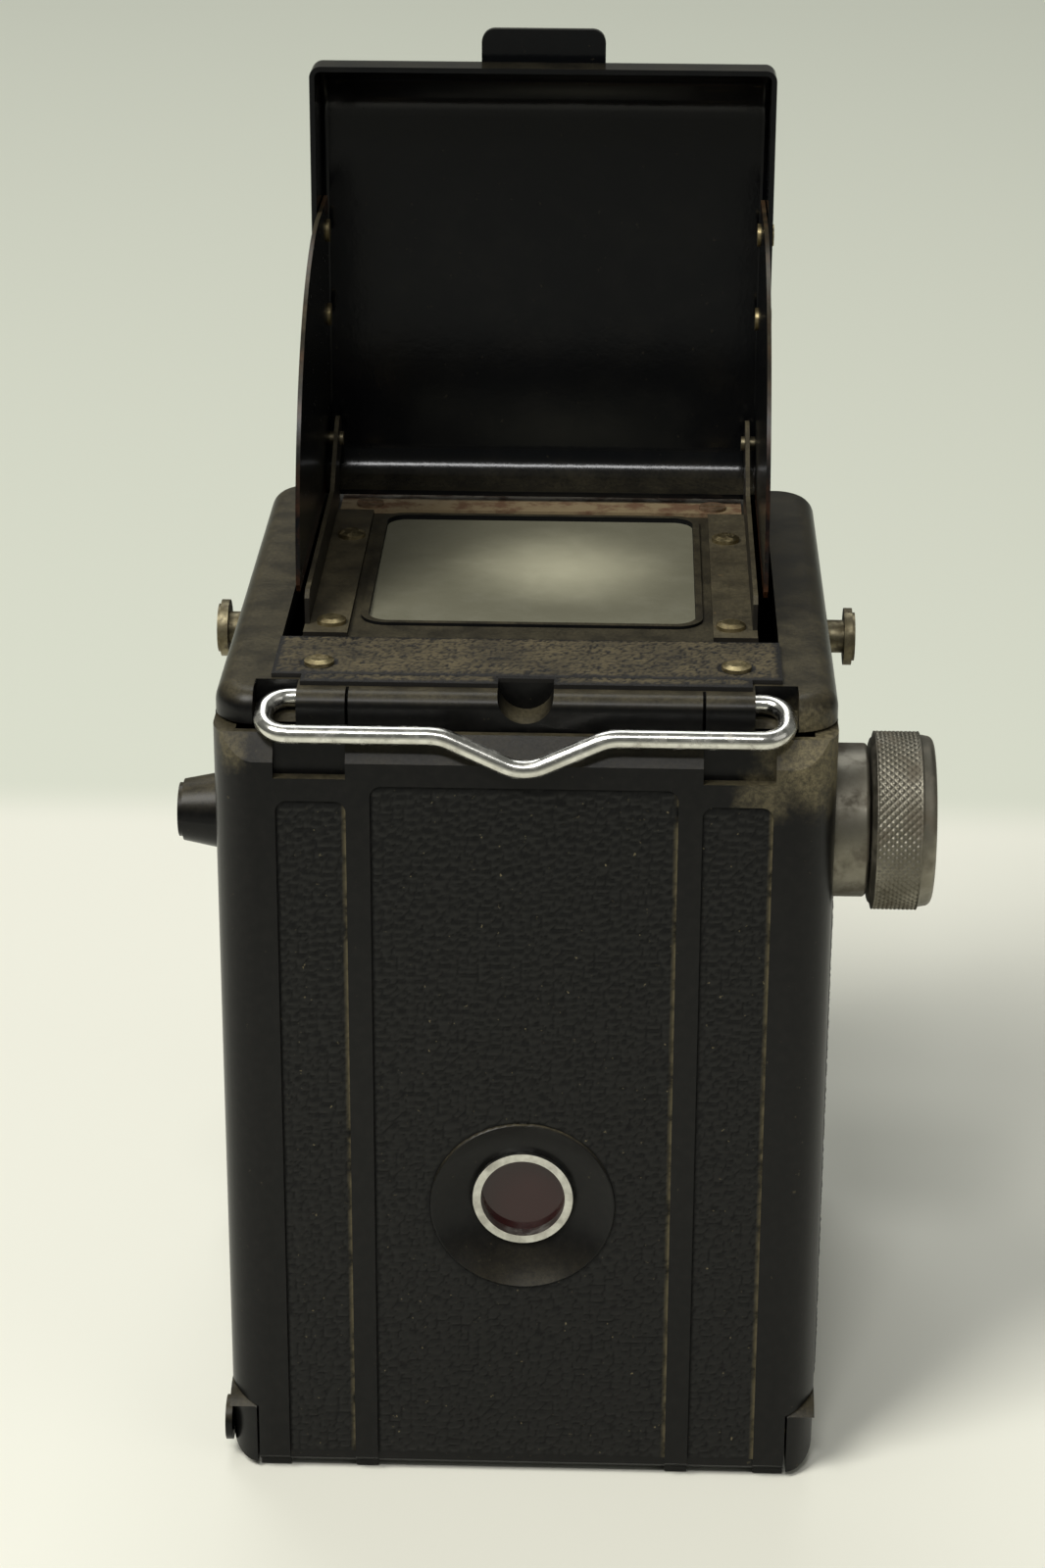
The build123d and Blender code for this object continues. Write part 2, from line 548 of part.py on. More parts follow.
def domed_heads(points, z, radius, height, shank_r, shank):
    """Round-head rivets standing on height z, for the part that is open."""
    for x, y in points:
        with Locations((x, y, z + 0.3 * height)):
            Cylinder(radius, 0.6 * height)
        with BuildSketch(level(z + 0.6 * height)) as low:
            with Locations((x, y)):
                Circle(radius)
        with BuildSketch(level(z + height)) as high:
            with Locations((x, y)):
                Circle(0.62 * radius)
        loft([low.sketch, high.sketch])
        with Locations((x, y, z - shank / 2)):
            Cylinder(shank_r, shank)


with BuildPart() as front_strip:
    slab((-28.4, -37.6, ROOF_Z), (28.4, -30.0, ROOF_Z + 0.6))
finish(front_strip, "front_strip")

with BuildPart() as front_strip_screws:
    for x in (-24.3, 24.3):
        with Locations((x, -32.2, ROOF_Z + 0.8)):
            Cylinder(1.9, 0.4)
        slab((x - 1.9, -32.45, ROOF_Z + 0.85), (x + 1.9, -31.95, ROOF_Z + 1.2), Mode.SUBTRACT)
finish(front_strip_screws, "front_strip_screws")

RIVET_X = 25.9
RIVET_YS = (17.2, -17.9)

for name, side in (("hood_bracket_left", 1), ("hood_bracket_right", -1)):
    with BuildPart() as bracket:
        x0, x1 = sorted((side * 23.6, side * 29.3))
        slab((x0, -29.6, ROOF_Z), (x1, 21.0, ROOF_Z + 0.7))
        x0, x1 = sorted((side * 28.7, side * 29.3))
        with BuildSketch(side_plane(x0)) as upright:
            with BuildLine():
                Polyline(
                    (18.0, ROOF_Z),
                    (18.0, ROOF_Z + 4.2),
                    (16.6, ROOF_Z + 5.0),
                    (-23.5, ROOF_Z + 5.4),
                    (HOOD_AXIS_Y + 2.0, HOOD_AXIS_Z + 2.6),
                    (HOOD_AXIS_Y, HOOD_AXIS_Z),
                    (HOOD_AXIS_Y + 1.8, HOOD_AXIS_Z - 3.6),
                    (HOOD_AXIS_Y + 1.8, ROOF_Z + 0.6),
                    (-29.6, ROOF_Z + 0.6),
                    (-29.6, ROOF_Z),
                    close=True,
                )
            make_face()
            with Locations((HOOD_AXIS_Y, HOOD_AXIS_Z)):
                Circle(3.2)
                Circle(1.02, mode=Mode.SUBTRACT)
        extrude(amount=x1 - x0)
        for y in RIVET_YS:
            with Locations((side * RIVET_X, y, ROOF_Z)):
                Cylinder(0.9, 3.0, mode=Mode.SUBTRACT)
    finish(bracket, name)

with BuildPart() as roof_rivets:
    domed_heads([(side * RIVET_X, y) for side in (-1, 1) for y in RIVET_YS], ROOF_Z + 0.7, 1.9, 0.8,
                0.88, 0.65)
    domed_heads([(-26.3, 32.0), (26.3, 32.0)], ROOF_Z + 0.55, 1.9, 0.8, 0.88, 0.5)
finish(roof_rivets, "roof_rivets")

with BuildPart() as hood_pivot_pins:
    for side in (-1, 1):
        x0, x1 = sorted((side * 28.2, side * 31.7))
        rod_x(x0, x1, HOOD_AXIS_Y, HOOD_AXIS_Z, 1.0)
        x0, x1 = sorted((side * 31.65, side * 32.4))
        rod_x(x0, x1, HOOD_AXIS_Y, HOOD_AXIS_Z, 1.9)
finish(hood_pivot_pins, "hood_pivot_pins")

# ---- hood ----


def tray_outline(x, inset, rim_y, bottom_z):
    """Side outline of the hood lid on the plane at x, moved inwards by inset."""
    panel = HOOD_PANEL_Y + inset
    top = HOOD_TOP_Z - inset
    low = HOOD_BOTTOM_Z + inset
    bottom_r = 6.0 - inset
    top_r = 9.0 - inset
    with BuildSketch(side_plane(x)) as outline:
        with BuildLine():
            if bottom_z < low:
                Line((panel + bottom_r, low), (panel + bottom_r, bottom_z))
            Polyline((panel + bottom_r, bottom_z), (rim_y, bottom_z), (rim_y, top), (panel + top_r, top))
            CenterArc((panel + top_r, top - top_r), top_r, 90, 90)
            Line((panel, top - top_r), (panel, low + bottom_r))
            CenterArc((panel + bottom_r, low + bottom_r), bottom_r, 180, 90)
        make_face()
    return outline.sketch


WING_RIVETS = ((-35.4, 138.0), (-35.4, 150.0))

with BuildPart() as hood_core:
    extrude(tray_outline(-HOOD_HALF_WIDTH + HOOD_SHEET, HOOD_SHEET, HOOD_RIM_Y + 1, HOOD_BOTTOM_Z - 1),
            amount=2 * (HOOD_HALF_WIDTH - HOOD_SHEET))
    fillet(hood_core.edges().filter_by(
        lambda edge: abs(edge.center().X) > 30 and edge.center().Y < -34.5), HOOD_EDGE_R - HOOD_SHEET)

with BuildPart() as hood_lid:
    extrude(tray_outline(-HOOD_HALF_WIDTH, 0.0, HOOD_RIM_Y, HOOD_BOTTOM_Z), amount=2 * HOOD_HALF_WIDTH)
    fillet(hood_lid.edges().filter_by(
        lambda edge: abs(edge.center().X) > 31 and edge.center().Y < HOOD_RIM_Y - 1), HOOD_EDGE_R)
    add(hood_core.part, mode=Mode.SUBTRACT)
    # thumb tab on the end wall
    with BuildSketch(back_plane(-32.0)) as tab:
        span((-8.4, HOOD_TOP_Z - 0.3), (8.4, 178.8))
        fillet(tab.vertices().group_by(Axis.Y)[-1], 1.8)
    extrude(amount=1.1)
    for side in (-1, 1):
        rod_x(side * 30, side * 33, HOOD_AXIS_Y, HOOD_AXIS_Z, 1.05, Mode.SUBTRACT)
        for y, z in WING_RIVETS:
            rod_x(side * 30, side * 33, y, z, 0.92, Mode.SUBTRACT)
finish(hood_lid, "hood_lid")

WING_ARC_R = 39.0
WING_ARC_Y = -24.0
WING_ARC_Z = 115.4
WING_LOW_Z = 114.4
WING_FAR_Y = -37.6

for name, side in (("hood_wing_left", 1), ("hood_wing_right", -1)):
    with BuildPart() as wing:
        x0, x1 = sorted((side * WING_X, side * (WING_X + WING_SHEET)))
        with BuildSketch(side_plane(x0)):
            with BuildLine():
                near_y = WING_ARC_Y + WING_ARC_R
                top_z = WING_ARC_Z + WING_ARC_R
                CenterArc((WING_ARC_Y, WING_ARC_Z), WING_ARC_R, 0, 90)
                Polyline((WING_ARC_Y, top_z), (WING_FAR_Y, top_z), (WING_FAR_Y, 118.2), (-36.4, 115.6),
                         (-34.0, WING_LOW_Z), (near_y - 0.6, WING_LOW_Z), (near_y, WING_ARC_Z))
            make_face()
            with Locations((HOOD_AXIS_Y, HOOD_AXIS_Z)):
                Circle(1.05, mode=Mode.SUBTRACT)
            with Locations(*WING_RIVETS):
                Circle(0.92, mode=Mode.SUBTRACT)
        extrude(amount=x1 - x0)
    finish(wing, name)

with BuildPart() as wing_rivets:
    for side in (-1, 1):
        for y, z in WING_RIVETS:
            rod_x(side * 29.7, side * WING_X, y, z, 1.6)
            rod_x(side * WING_X, side * HOOD_HALF_WIDTH, y, z, 0.9)
            rod_x(side * HOOD_HALF_WIDTH, side * (HOOD_HALF_WIDTH + 0.45), y, z, 1.5)
finish(wing_rivets, "wing_rivets")

# ---- tripod socket and strap studs ----

SOCKET_R = 3.95  # bore of a 3/8 inch tripod thread

with BuildPart() as tripod_socket:
    with BuildSketch(level(0)):
        Circle(7.95)
    extrude(amount=4.0)
    with BuildSketch(level(4.0)):
        Circle(10.0)
    extrude(amount=1.2)
    with BuildSketch(level(5.2)):
        Circle(6.5)
    extrude(amount=4.3)
    with BuildSketch(level(-0.5)):
        Circle(SOCKET_R)
    extrude(amount=8.5, mode=Mode.SUBTRACT)
finish(tripod_socket, "tripod_socket")

with BuildPart() as strap_studs:
    for side in (-1, 1):
        rod_x(side * 36.0, side * 39.0, -8.0, 101.0, 1.55)
        rod_x(side * 39.0, side * 39.5, -8.0, 101.0, 3.0)
        rod_x(side * 39.5, side * 42.0, -8.0, 101.0, 2.25)
        rod_x(side * 42.0, side * 43.1, -8.0, 101.0, 3.9)
        rod_x(side * 43.1, side * 43.5, -8.0, 101.0, 3.3)
finish(strap_studs, "strap_studs")

# ---- front plate and finder lens ----

FRONT_PLATE_Y = -46.2
SCREW_POINTS = [(x, z) for x in (-22.5, 22.5) for z in (21.5, 105.0)]

with BuildPart() as front_plate:
    with BuildSketch(back_plane(FRONT_Y)) as plate:
        span((-26.5, 17.5), (26.5, 109.0))
        fillet(plate.vertices(), 6.0)
        with Locations((0, TAKING_Z)):
            Circle(12.1, mode=Mode.SUBTRACT)
        with Locations((0, VIEWING_Z)):
            Circle(13.45, mode=Mode.SUBTRACT)
        with Locations(*SCREW_POINTS):
            Circle(0.8, mode=Mode.SUBTRACT)
    extrude(amount=FRONT_Y - FRONT_PLATE_Y)
finish(front_plate, "front_plate")

with BuildPart() as front_plate_screws:
    for x, z in SCREW_POINTS:
        rod_y(FRONT_PLATE_Y, FRONT_PLATE_Y - 0.7, x, z, 1.7)
        rod_y(FRONT_Y, FRONT_PLATE_Y, x, z, 0.78)
        slab((x - 1.7, FRONT_PLATE_Y - 0.8, z - 0.2), (x + 1.7, FRONT_PLATE_Y - 0.35, z + 0.2), Mode.SUBTRACT)
finish(front_plate_screws, "front_plate_screws")

with BuildPart() as viewing_lens_mount:
    rod_y(FRONT_Y + 3.5, FRONT_PLATE_Y, 0, VIEWING_Z, 13.4)
    rod_y(FRONT_PLATE_Y, -54.9, 0, VIEWING_Z, 18.0)
    rod_y(-54.9, -58.6, 0, VIEWING_Z, 13.0)
    rod_y(FRONT_Y + 5, -60.0, 0, VIEWING_Z, 11.8, Mode.SUBTRACT)
finish(viewing_lens_mount, "viewing_lens_mount")

GEAR_TEETH = 44
GEAR_BACK_Y = -55.4
GEAR_FRONT_Y = -58.8
RING_FRONT_Y = -61.4


def focus_gear(z, phase, bore_r, rim_r, glass_r):
    """Toothed focusing ring at height z, with a tooth at the angle phase, and its rim."""
    with BuildPart() as ring:
        rod_y(GEAR_BACK_Y, GEAR_FRONT_Y, 0, z, GEAR_PITCH_R - 0.7)
        with BuildSketch(back_plane(GEAR_BACK_Y)):
            with Locations((0, z)):
                with PolarLocations(GEAR_PITCH_R - 0.8, GEAR_TEETH, start_angle=phase):
                    Polygon((0, -0.78), (1.35, -0.36), (1.35, 0.36), (0, 0.78), align=None)
        extrude(amount=GEAR_BACK_Y - GEAR_FRONT_Y)
        rod_y(GEAR_FRONT_Y, RING_FRONT_Y, 0, z, rim_r)
        rod_y(GEAR_BACK_Y + 1, GEAR_FRONT_Y - 0.1, 0, z, bore_r, Mode.SUBTRACT)
        rod_y(GEAR_FRONT_Y, RING_FRONT_Y + 0.6, 0, z, glass_r, Mode.SUBTRACT)
        rod_y(GEAR_FRONT_Y, RING_FRONT_Y - 1, 0, z, glass_r - 0.8, Mode.SUBTRACT)
    return ring


def lens_disc(y, z, radius, thickness, bulge):
    """Glass disc whose front face, towards -Y, is domed by bulge."""
    sphere_r = (radius**2 + bulge**2) / (2 * bulge)
    with BuildPart() as lens:
        with Locations((0, y - thickness - bulge + sphere_r, z)):
            Sphere(sphere_r)
        with BuildSketch(back_plane(y)):
            with Locations((0, z)):
                Circle(radius)
        extrude(amount=thickness + bulge + 1, mode=Mode.INTERSECT)
    return lens


finish(focus_gear(VIEWING_Z, -90 + 180 / GEAR_TEETH, 13.1, 16.5, 12.6), "viewing_focus_ring")
finish(focus_gear(TAKING_Z, 90, 10.6, 14.0, 10.2), "focus_ring")
finish(lens_disc(GEAR_FRONT_Y - 0.1, VIEWING_Z, 12.5, 0.9, 1.3), "viewing_lens_glass")
finish(lens_disc(GEAR_FRONT_Y - 0.1, TAKING_Z, 10.1, 0.9, 1.0), "front_lens_glass")

# ---- shutter ----

HOUSING_R = 21.0
HOUSING_INNER_R = 19.4
HOUSING_FRONT_Y = -54.2
LEVER_T = 0.7
LEVER_REACH = 26.0
# lever: back face, rest angle, travel in degrees (counter-clockwise seen from the front)
LEVERS = {
    "aperture_lever": (-47.5, -110.0, 50.0),
    "release_lever": (-51.1, -14.0, -18.0),
    "cocking_lever": (-52.2, 42.0, -38.0),
    "speed_lever": (-53.2, 196.0, 40.0),
}


def sector(y, inner_r, outer_r, start, sweep_angle):
    """Ring sector on a back plane, about the taking axis, from start through sweep_angle degrees."""
    first = radians(start)
    last = radians(start + sweep_angle)
    with BuildSketch(back_plane(y)) as shape:
        with BuildLine():
            CenterArc((0, TAKING_Z), outer_r, start, sweep_angle)
            CenterArc((0, TAKING_Z), inner_r, start, sweep_angle)
            for turn in (first, last):
                Line((inner_r * cos(turn), TAKING_Z + inner_r * sin(turn)),
                     (outer_r * cos(turn), TAKING_Z + outer_r * sin(turn)))
        make_face()
    return shape.sketch


def cable_plane(radius):
    """Plane facing away from the shutter at the cable release's angle, at a radius."""
    turn = radians(-62.0)
    away = (cos(turn), 0, sin(turn))
    return Plane(origin=(radius * away[0], -50.6, TAKING_Z + radius * away[2]), z_dir=away)


with BuildPart() as shutter_housing:
    rod_y(-42.0, FRONT_PLATE_Y, 0, TAKING_Z, 12.0)
    rod_y(FRONT_PLATE_Y, HOUSING_FRONT_Y, 0, TAKING_Z, HOUSING_R)
    rod_y(-47.0, HOUSING_FRONT_Y - 1, 0, TAKING_Z, HOUSING_INNER_R, Mode.SUBTRACT)
    rod_y(-41.0, -48.0, 0, TAKING_Z, 10.8, Mode.SUBTRACT)
    for back, rest, travel in LEVERS.values():
        start = min(rest, rest + travel) - 6.5
        extrude(sector(back + 0.25, HOUSING_INNER_R - 1, HOUSING_R + 1, start, abs(travel) + 13),
                amount=LEVER_T + 0.5, mode=Mode.SUBTRACT)
    # threaded hole for the cable release socket
    with BuildSketch(cable_plane(17.0)):
        Circle(2.0)
    extrude(amount=6.0, mode=Mode.SUBTRACT)
finish(shutter_housing, "shutter_housing")

with BuildPart() as cable_release_socket:
    with BuildSketch(cable_plane(19.2)):
        Circle(1.98)
    extrude(amount=2.0)
    with BuildSketch(cable_plane(HOUSING_R + 0.1)):
        Circle(2.6)
    extrude(amount=3.6)
    with BuildSketch(cable_plane(19.0)):
        Circle(1.25)
    extrude(amount=7.0, mode=Mode.SUBTRACT)
finish(cable_release_socket, "cable_release_socket")

with BuildPart() as shutter_cover:
    rod_y(HOUSING_FRONT_Y, -55.0, 0, TAKING_Z, HOUSING_R)
    rod_y(-55.0, -58.4, 0, TAKING_Z, 10.5)
    rod_y(-53.0, -60.0, 0, TAKING_Z, 9.0, Mode.SUBTRACT)
finish(shutter_cover, "shutter_cover")

for name, (back, rest, travel) in LEVERS.items():
    with BuildPart() as lever:
        middle = radians(rest)
        extrude(sector(back, 16.2, 18.9, rest - 30, 60), amount=LEVER_T)
        with BuildSketch(back_plane(back)):
            with Locations(Pos(21.5 * cos(middle), TAKING_Z + 21.5 * sin(middle)) * Rot(0, 0, rest)):
                Rectangle(9.0, 2.6)
        extrude(amount=LEVER_T)
        # thumb tab, bent forward
        with BuildSketch(back_plane(back)):
            with Locations(Pos((LEVER_REACH - 0.6) * cos(middle), TAKING_Z + (LEVER_REACH - 0.6) * sin(middle))
                           * Rot(0, 0, rest)):
                Rectangle(1.2, 4.2)
        extrude(amount=4.2)
    finish(lever, name)


def swing_leaf(y, outline, pivot, pivot_r):
    """Thin blade from an outline sketch, with a round eye at its pivot."""
    with BuildPart() as leaf:
        extrude(outline, amount=BLADE_T)
        with BuildSketch(back_plane(y)):
            with Locations((pivot[0], TAKING_Z + pivot[1])):
                Circle(pivot_r)
        extrude(amount=BLADE_T)
        rod_y(y + 1, y - 1, pivot[0], TAKING_Z + pivot[1], 0.45, Mode.SUBTRACT)
    return leaf


BLADE_T = 0.15
IRIS_COUNT = 4
IRIS_BACK_Y = -48.4
IRIS_PIVOT_R = 14.0
SHUTTER_COUNT = 3
SHUTTER_BACK_Y = -50.1
SHUTTER_PIVOT_R = 13.8

for i in range(IRIS_COUNT):
    start = 360 / IRIS_COUNT * i
    pivot = (IRIS_PIVOT_R * cos(radians(start)), IRIS_PIVOT_R * sin(radians(start)))
    y = IRIS_BACK_Y - 0.28 * i
    finish(swing_leaf(y, sector(y, 9.2, 15.2, start - 4, 118), pivot, 1.2), f"iris_blade_{i + 1}")

for i in range(SHUTTER_COUNT):
    start = 360 / SHUTTER_COUNT * i
    turn = radians(start + 170)
    pivot = (SHUTTER_PIVOT_R * cos(turn), SHUTTER_PIVOT_R * sin(turn))
    y = SHUTTER_BACK_Y - 0.28 * i

    def polar(radius, angle):
        """Point on the shutter's plane at a radius and an angle from this blade's start."""
        return (radius * cos(radians(start + angle)), TAKING_Z + radius * sin(radians(start + angle)))

    with BuildSketch(back_plane(y)) as blade:
        with BuildLine():
            CenterArc((0, TAKING_Z), 9.0, start + 26, 128)
            Polyline(polar(9.0, 154), polar(14.6, 165), polar(14.8, 172), polar(12.6, 174), polar(5.0, 168),
                     polar(0.8, 270), polar(9.0, 26))
        make_face()
    finish(swing_leaf(y, blade.sketch, pivot, 1.3), f"shutter_blade_{i + 1}")

# ---- rear lens ----

with BuildPart() as rear_lens_cell:
    rod_y(-39.0, -46.4, 0, TAKING_Z, 10.75)
    rod_y(-38.0, -42.4, 0, TAKING_Z, 9.3, Mode.SUBTRACT)
    rod_y(-42.0, -47.0, 0, TAKING_Z, 8.6, Mode.SUBTRACT)
finish(rear_lens_cell, "rear_lens_cell")

finish(lens_disc(-40.6, TAKING_Z, 9.25, 0.8, 0.8), "rear_lens_glass")
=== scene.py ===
"""Looks of a twin lens reflex camera with its finder hood open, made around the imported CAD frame."""

import json
import math

import bmesh
import bpy
import numpy as np
from mathutils import Matrix, Vector


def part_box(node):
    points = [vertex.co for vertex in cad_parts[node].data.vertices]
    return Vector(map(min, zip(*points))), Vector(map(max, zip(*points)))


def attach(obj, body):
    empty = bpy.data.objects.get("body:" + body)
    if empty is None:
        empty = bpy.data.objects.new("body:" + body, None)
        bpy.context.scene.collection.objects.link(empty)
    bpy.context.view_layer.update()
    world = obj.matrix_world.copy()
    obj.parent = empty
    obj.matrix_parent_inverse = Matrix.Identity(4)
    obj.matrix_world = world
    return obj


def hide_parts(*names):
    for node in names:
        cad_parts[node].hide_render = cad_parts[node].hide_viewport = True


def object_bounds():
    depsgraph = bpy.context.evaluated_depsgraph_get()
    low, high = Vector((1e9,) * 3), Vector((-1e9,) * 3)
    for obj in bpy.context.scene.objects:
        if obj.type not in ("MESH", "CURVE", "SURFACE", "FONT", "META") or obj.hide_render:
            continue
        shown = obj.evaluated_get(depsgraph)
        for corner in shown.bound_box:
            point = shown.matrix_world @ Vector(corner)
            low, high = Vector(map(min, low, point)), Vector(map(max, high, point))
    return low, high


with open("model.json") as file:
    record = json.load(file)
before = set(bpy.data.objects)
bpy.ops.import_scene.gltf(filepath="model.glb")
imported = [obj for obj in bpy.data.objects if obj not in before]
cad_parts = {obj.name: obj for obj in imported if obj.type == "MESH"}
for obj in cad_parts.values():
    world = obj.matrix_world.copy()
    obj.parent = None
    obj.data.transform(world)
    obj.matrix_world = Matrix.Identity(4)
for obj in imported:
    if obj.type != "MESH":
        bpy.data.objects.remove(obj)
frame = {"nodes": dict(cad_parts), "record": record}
cad_low, cad_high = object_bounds()
nodes = frame["nodes"]
MM = 0.001


# ---- colours and procedural finishes ----

def tone(red, green, blue):
    """A display colour, 0 to 255, as the linear colour that shaders use."""
    def linear(level):
        share = level / 255
        return share / 12.92 if share <= 0.04045 else ((share + 0.055) / 1.055) ** 2.4
    return linear(red), linear(green), linear(blue), 1.0


BLACK = tone(9, 9, 9)
DUST = tone(128, 118, 90)
DARK_DIRT = tone(78, 66, 48)
RUST = tone(74, 46, 28)


class Finish:
    """A principled material whose colour, roughness and relief come from masks measured in millimetres."""

    def __init__(self, name, roughness=0.5, **constants):
        self.material = bpy.data.materials.new(name)
        self.material.use_nodes = True
        self.tree = self.material.node_tree
        self.shader = self.tree.nodes["Principled BSDF"]
        self.shader.inputs["Roughness"].default_value = roughness
        for socket, value in constants.items():
            self.shader.inputs[socket.replace("_", " ")].default_value = value
        coordinates = self.tree.nodes.new("ShaderNodeTexCoord")
        scaled = self.tree.nodes.new("ShaderNodeVectorMath")
        scaled.operation = "SCALE"
        scaled.inputs["Scale"].default_value = 1 / MM
        self.link(coordinates.outputs["Object"], scaled.inputs[0])
        self.place = scaled.outputs[0]
        self.normal = coordinates.outputs["Normal"]

    def link(self, output, socket):
        self.tree.links.new(output, socket)

    def feed(self, value, socket):
        if hasattr(value, "links"):
            self.link(value, socket)
        else:
            socket.default_value = value

    def calc(self, operation, first, second=0.0, clamp=False):
        node = self.tree.nodes.new("ShaderNodeMath")
        node.operation = operation
        node.use_clamp = clamp
        self.feed(first, node.inputs[0])
        self.feed(second, node.inputs[1])
        return node.outputs[0]

    def ramp(self, value, low, high):
        """0 below low and 1 above high, or the other way round where low is the larger."""
        node = self.tree.nodes.new("ShaderNodeMapRange")
        node.interpolation_type = "SMOOTHSTEP"
        self.feed(value, node.inputs["Value"])
        node.inputs["From Min"].default_value = low
        node.inputs["From Max"].default_value = high
        return node.outputs["Result"]

    def noise(self, size, detail=4.0, stretch=(1, 1, 1), shift=0.0, roughness=0.6):
        """Cloudy variation, 0 to 1, whose blotches are about size millimetres wide."""
        mapping = self.tree.nodes.new("ShaderNodeMapping")
        mapping.inputs["Scale"].default_value = [1 / factor for factor in stretch]
        mapping.inputs["Location"].default_value = (shift, shift * 0.7, shift * 0.3)
        self.link(self.place, mapping.inputs["Vector"])
        node = self.tree.nodes.new("ShaderNodeTexNoise")
        node.inputs["Scale"].default_value = 1 / size
        node.inputs["Detail"].default_value = detail
        node.inputs["Roughness"].default_value = roughness
        self.link(mapping.outputs[0], node.inputs["Vector"])
        return node.outputs["Fac"]

    def axis(self, name, source=None):
        node = self.tree.nodes.new("ShaderNodeSeparateXYZ")
        self.link(source or self.place, node.inputs[0])
        return node.outputs[name]

    def distance(self, point):
        node = self.tree.nodes.new("ShaderNodeVectorMath")
        node.operation = "DISTANCE"
        self.link(self.place, node.inputs[0])
        node.inputs[1].default_value = point
        return node.outputs["Value"]

    def attribute(self, name):
        node = self.tree.nodes.new("ShaderNodeAttribute")
        node.attribute_name = name
        return node.outputs["Fac"]

    def both(self, first, second):
        return self.calc("MULTIPLY", first, second, clamp=True)

    def either(self, first, second):
        return self.calc("MAXIMUM", first, second)

    def blend(self, mask, first, second):
        node = self.tree.nodes.new("ShaderNodeMix")
        node.data_type = "RGBA"
        self.feed(mask, node.inputs["Factor"])
        self.feed(first, node.inputs["A"])
        self.feed(second, node.inputs["B"])
        return node.outputs["Result"]

    def between(self, mask, low, high):
        return self.calc("ADD", self.calc("MULTIPLY", mask, high - low), low)

    def colour(self, output):
        self.link(output, self.shader.inputs["Base Color"])

    def rough(self, output):
        self.link(output, self.shader.inputs["Roughness"])

    def metal(self, output):
        self.link(output, self.shader.inputs["Metallic"])

    def relief(self, height, depth):
        """Fine surface relief; depth is in millimetres."""
        node = self.tree.nodes.new("ShaderNodeBump")
        node.inputs["Distance"].default_value = depth * MM
        self.link(height, node.inputs["Height"])
        self.link(node.outputs[0], self.shader.inputs["Normal"])


def dusted(finish, base, amount=0.5, dust=DUST, clean=0.3, dull=0.75, blotch=5.0, corner=None):
    """Dust that has settled on faces that look up: a fine, grainy layer, thicker in soft patches."""
    up = finish.ramp(finish.axis("Z", finish.normal), 0.2, 1.0)
    cloud = finish.between(finish.ramp(finish.noise(blotch, 3.0), 0.3, 0.7), 0.45, 1.0)
    grit = finish.between(finish.ramp(finish.noise(0.45, 8.0, shift=2.0, roughness=0.8), 0.3, 0.7), 0.35, 1.0)
    mask = finish.both(finish.both(up, finish.both(cloud, grit)), amount)
    fleck = finish.both(finish.ramp(finish.noise(0.9, 3.0, shift=9.0), 0.69, 0.76), amount * 0.5)
    mask = finish.either(mask, fleck)
    if corner is not None:
        mask = finish.either(mask, corner)
    finish.colour(finish.blend(mask, base, dust))
    finish.rough(finish.between(mask, clean, dull))


def speckled_black(finish, low=BLACK, high=tone(18, 17, 16), size=1.2):
    return finish.blend(finish.ramp(finish.noise(size, 8.0, shift=3.0), 0.35, 0.8), low, high)


def moulded_black(name, amount, clean=0.3, patches=()):
    """Black phenolic moulding: satin, softly uneven, with dust on top.

    Each patch of dirt is (point, radius of full dirt, radius of no dirt, strength).
    """
    finish = Finish(name, Specular_IOR_Level=0.2)
    base = speckled_black(finish)
    dirt = None
    crumbs = finish.between(finish.ramp(finish.noise(0.7, 8.0, roughness=0.8), 0.35, 0.65), 0.3, 1.0)
    for point, near, far, strength in patches:
        edge = finish.calc("ADD", finish.distance(point), finish.between(finish.noise(2.2, 6.0), -3.0, 3.0))
        spot = finish.both(finish.both(finish.ramp(edge, far, near), crumbs), strength)
        dirt = spot if dirt is None else finish.either(dirt, spot)
    dusted(finish, base, amount, clean=clean, corner=dirt)
    scuff = finish.noise(0.35, 6.0, stretch=(1, 1, 3), shift=5.0)
    finish.relief(scuff, 0.012)
    return finish.material


def grained_black(name):
    """The pebbled panels: painted shade darkens the valleys between the pebbles, and a pale line along one
    edge of each panel is partly dust and partly a painted highlight.
    """
    finish = Finish(name, Specular_IOR_Level=0.22)
    crown_vs_shaded_valley = finish.ramp(finish.attribute("grain"), 0.05, 0.6)
    # A pale line along one edge of each panel: partly dust, partly a painted highlight where light falls on
    # the recess wall.
    dust_and_highlight_border = finish.both(finish.attribute("dust_and_highlight_border"), finish.ramp(finish.noise(2.0, 8.0, shift=4.0), 0.3, 0.6))
    fleck = finish.both(finish.ramp(finish.noise(0.8, 2.0, shift=7.0), 0.70, 0.76), 0.5)
    # dirt mixes real dust flecks with the pale edge line, which is partly a painted highlight.
    dirt = finish.either(finish.both(dust_and_highlight_border, 0.7), fleck)
    # Painted shade: the colour darkens from the pebble crowns down into the valleys.
    finish.colour(finish.blend(dirt, finish.blend(crown_vs_shaded_valley, tone(5, 5, 5), tone(18, 18, 17)), DUST))
    finish.rough(finish.either(finish.between(crown_vs_shaded_valley, 0.6, 0.38), finish.calc("MULTIPLY", dirt, 0.85)))
    return finish.material


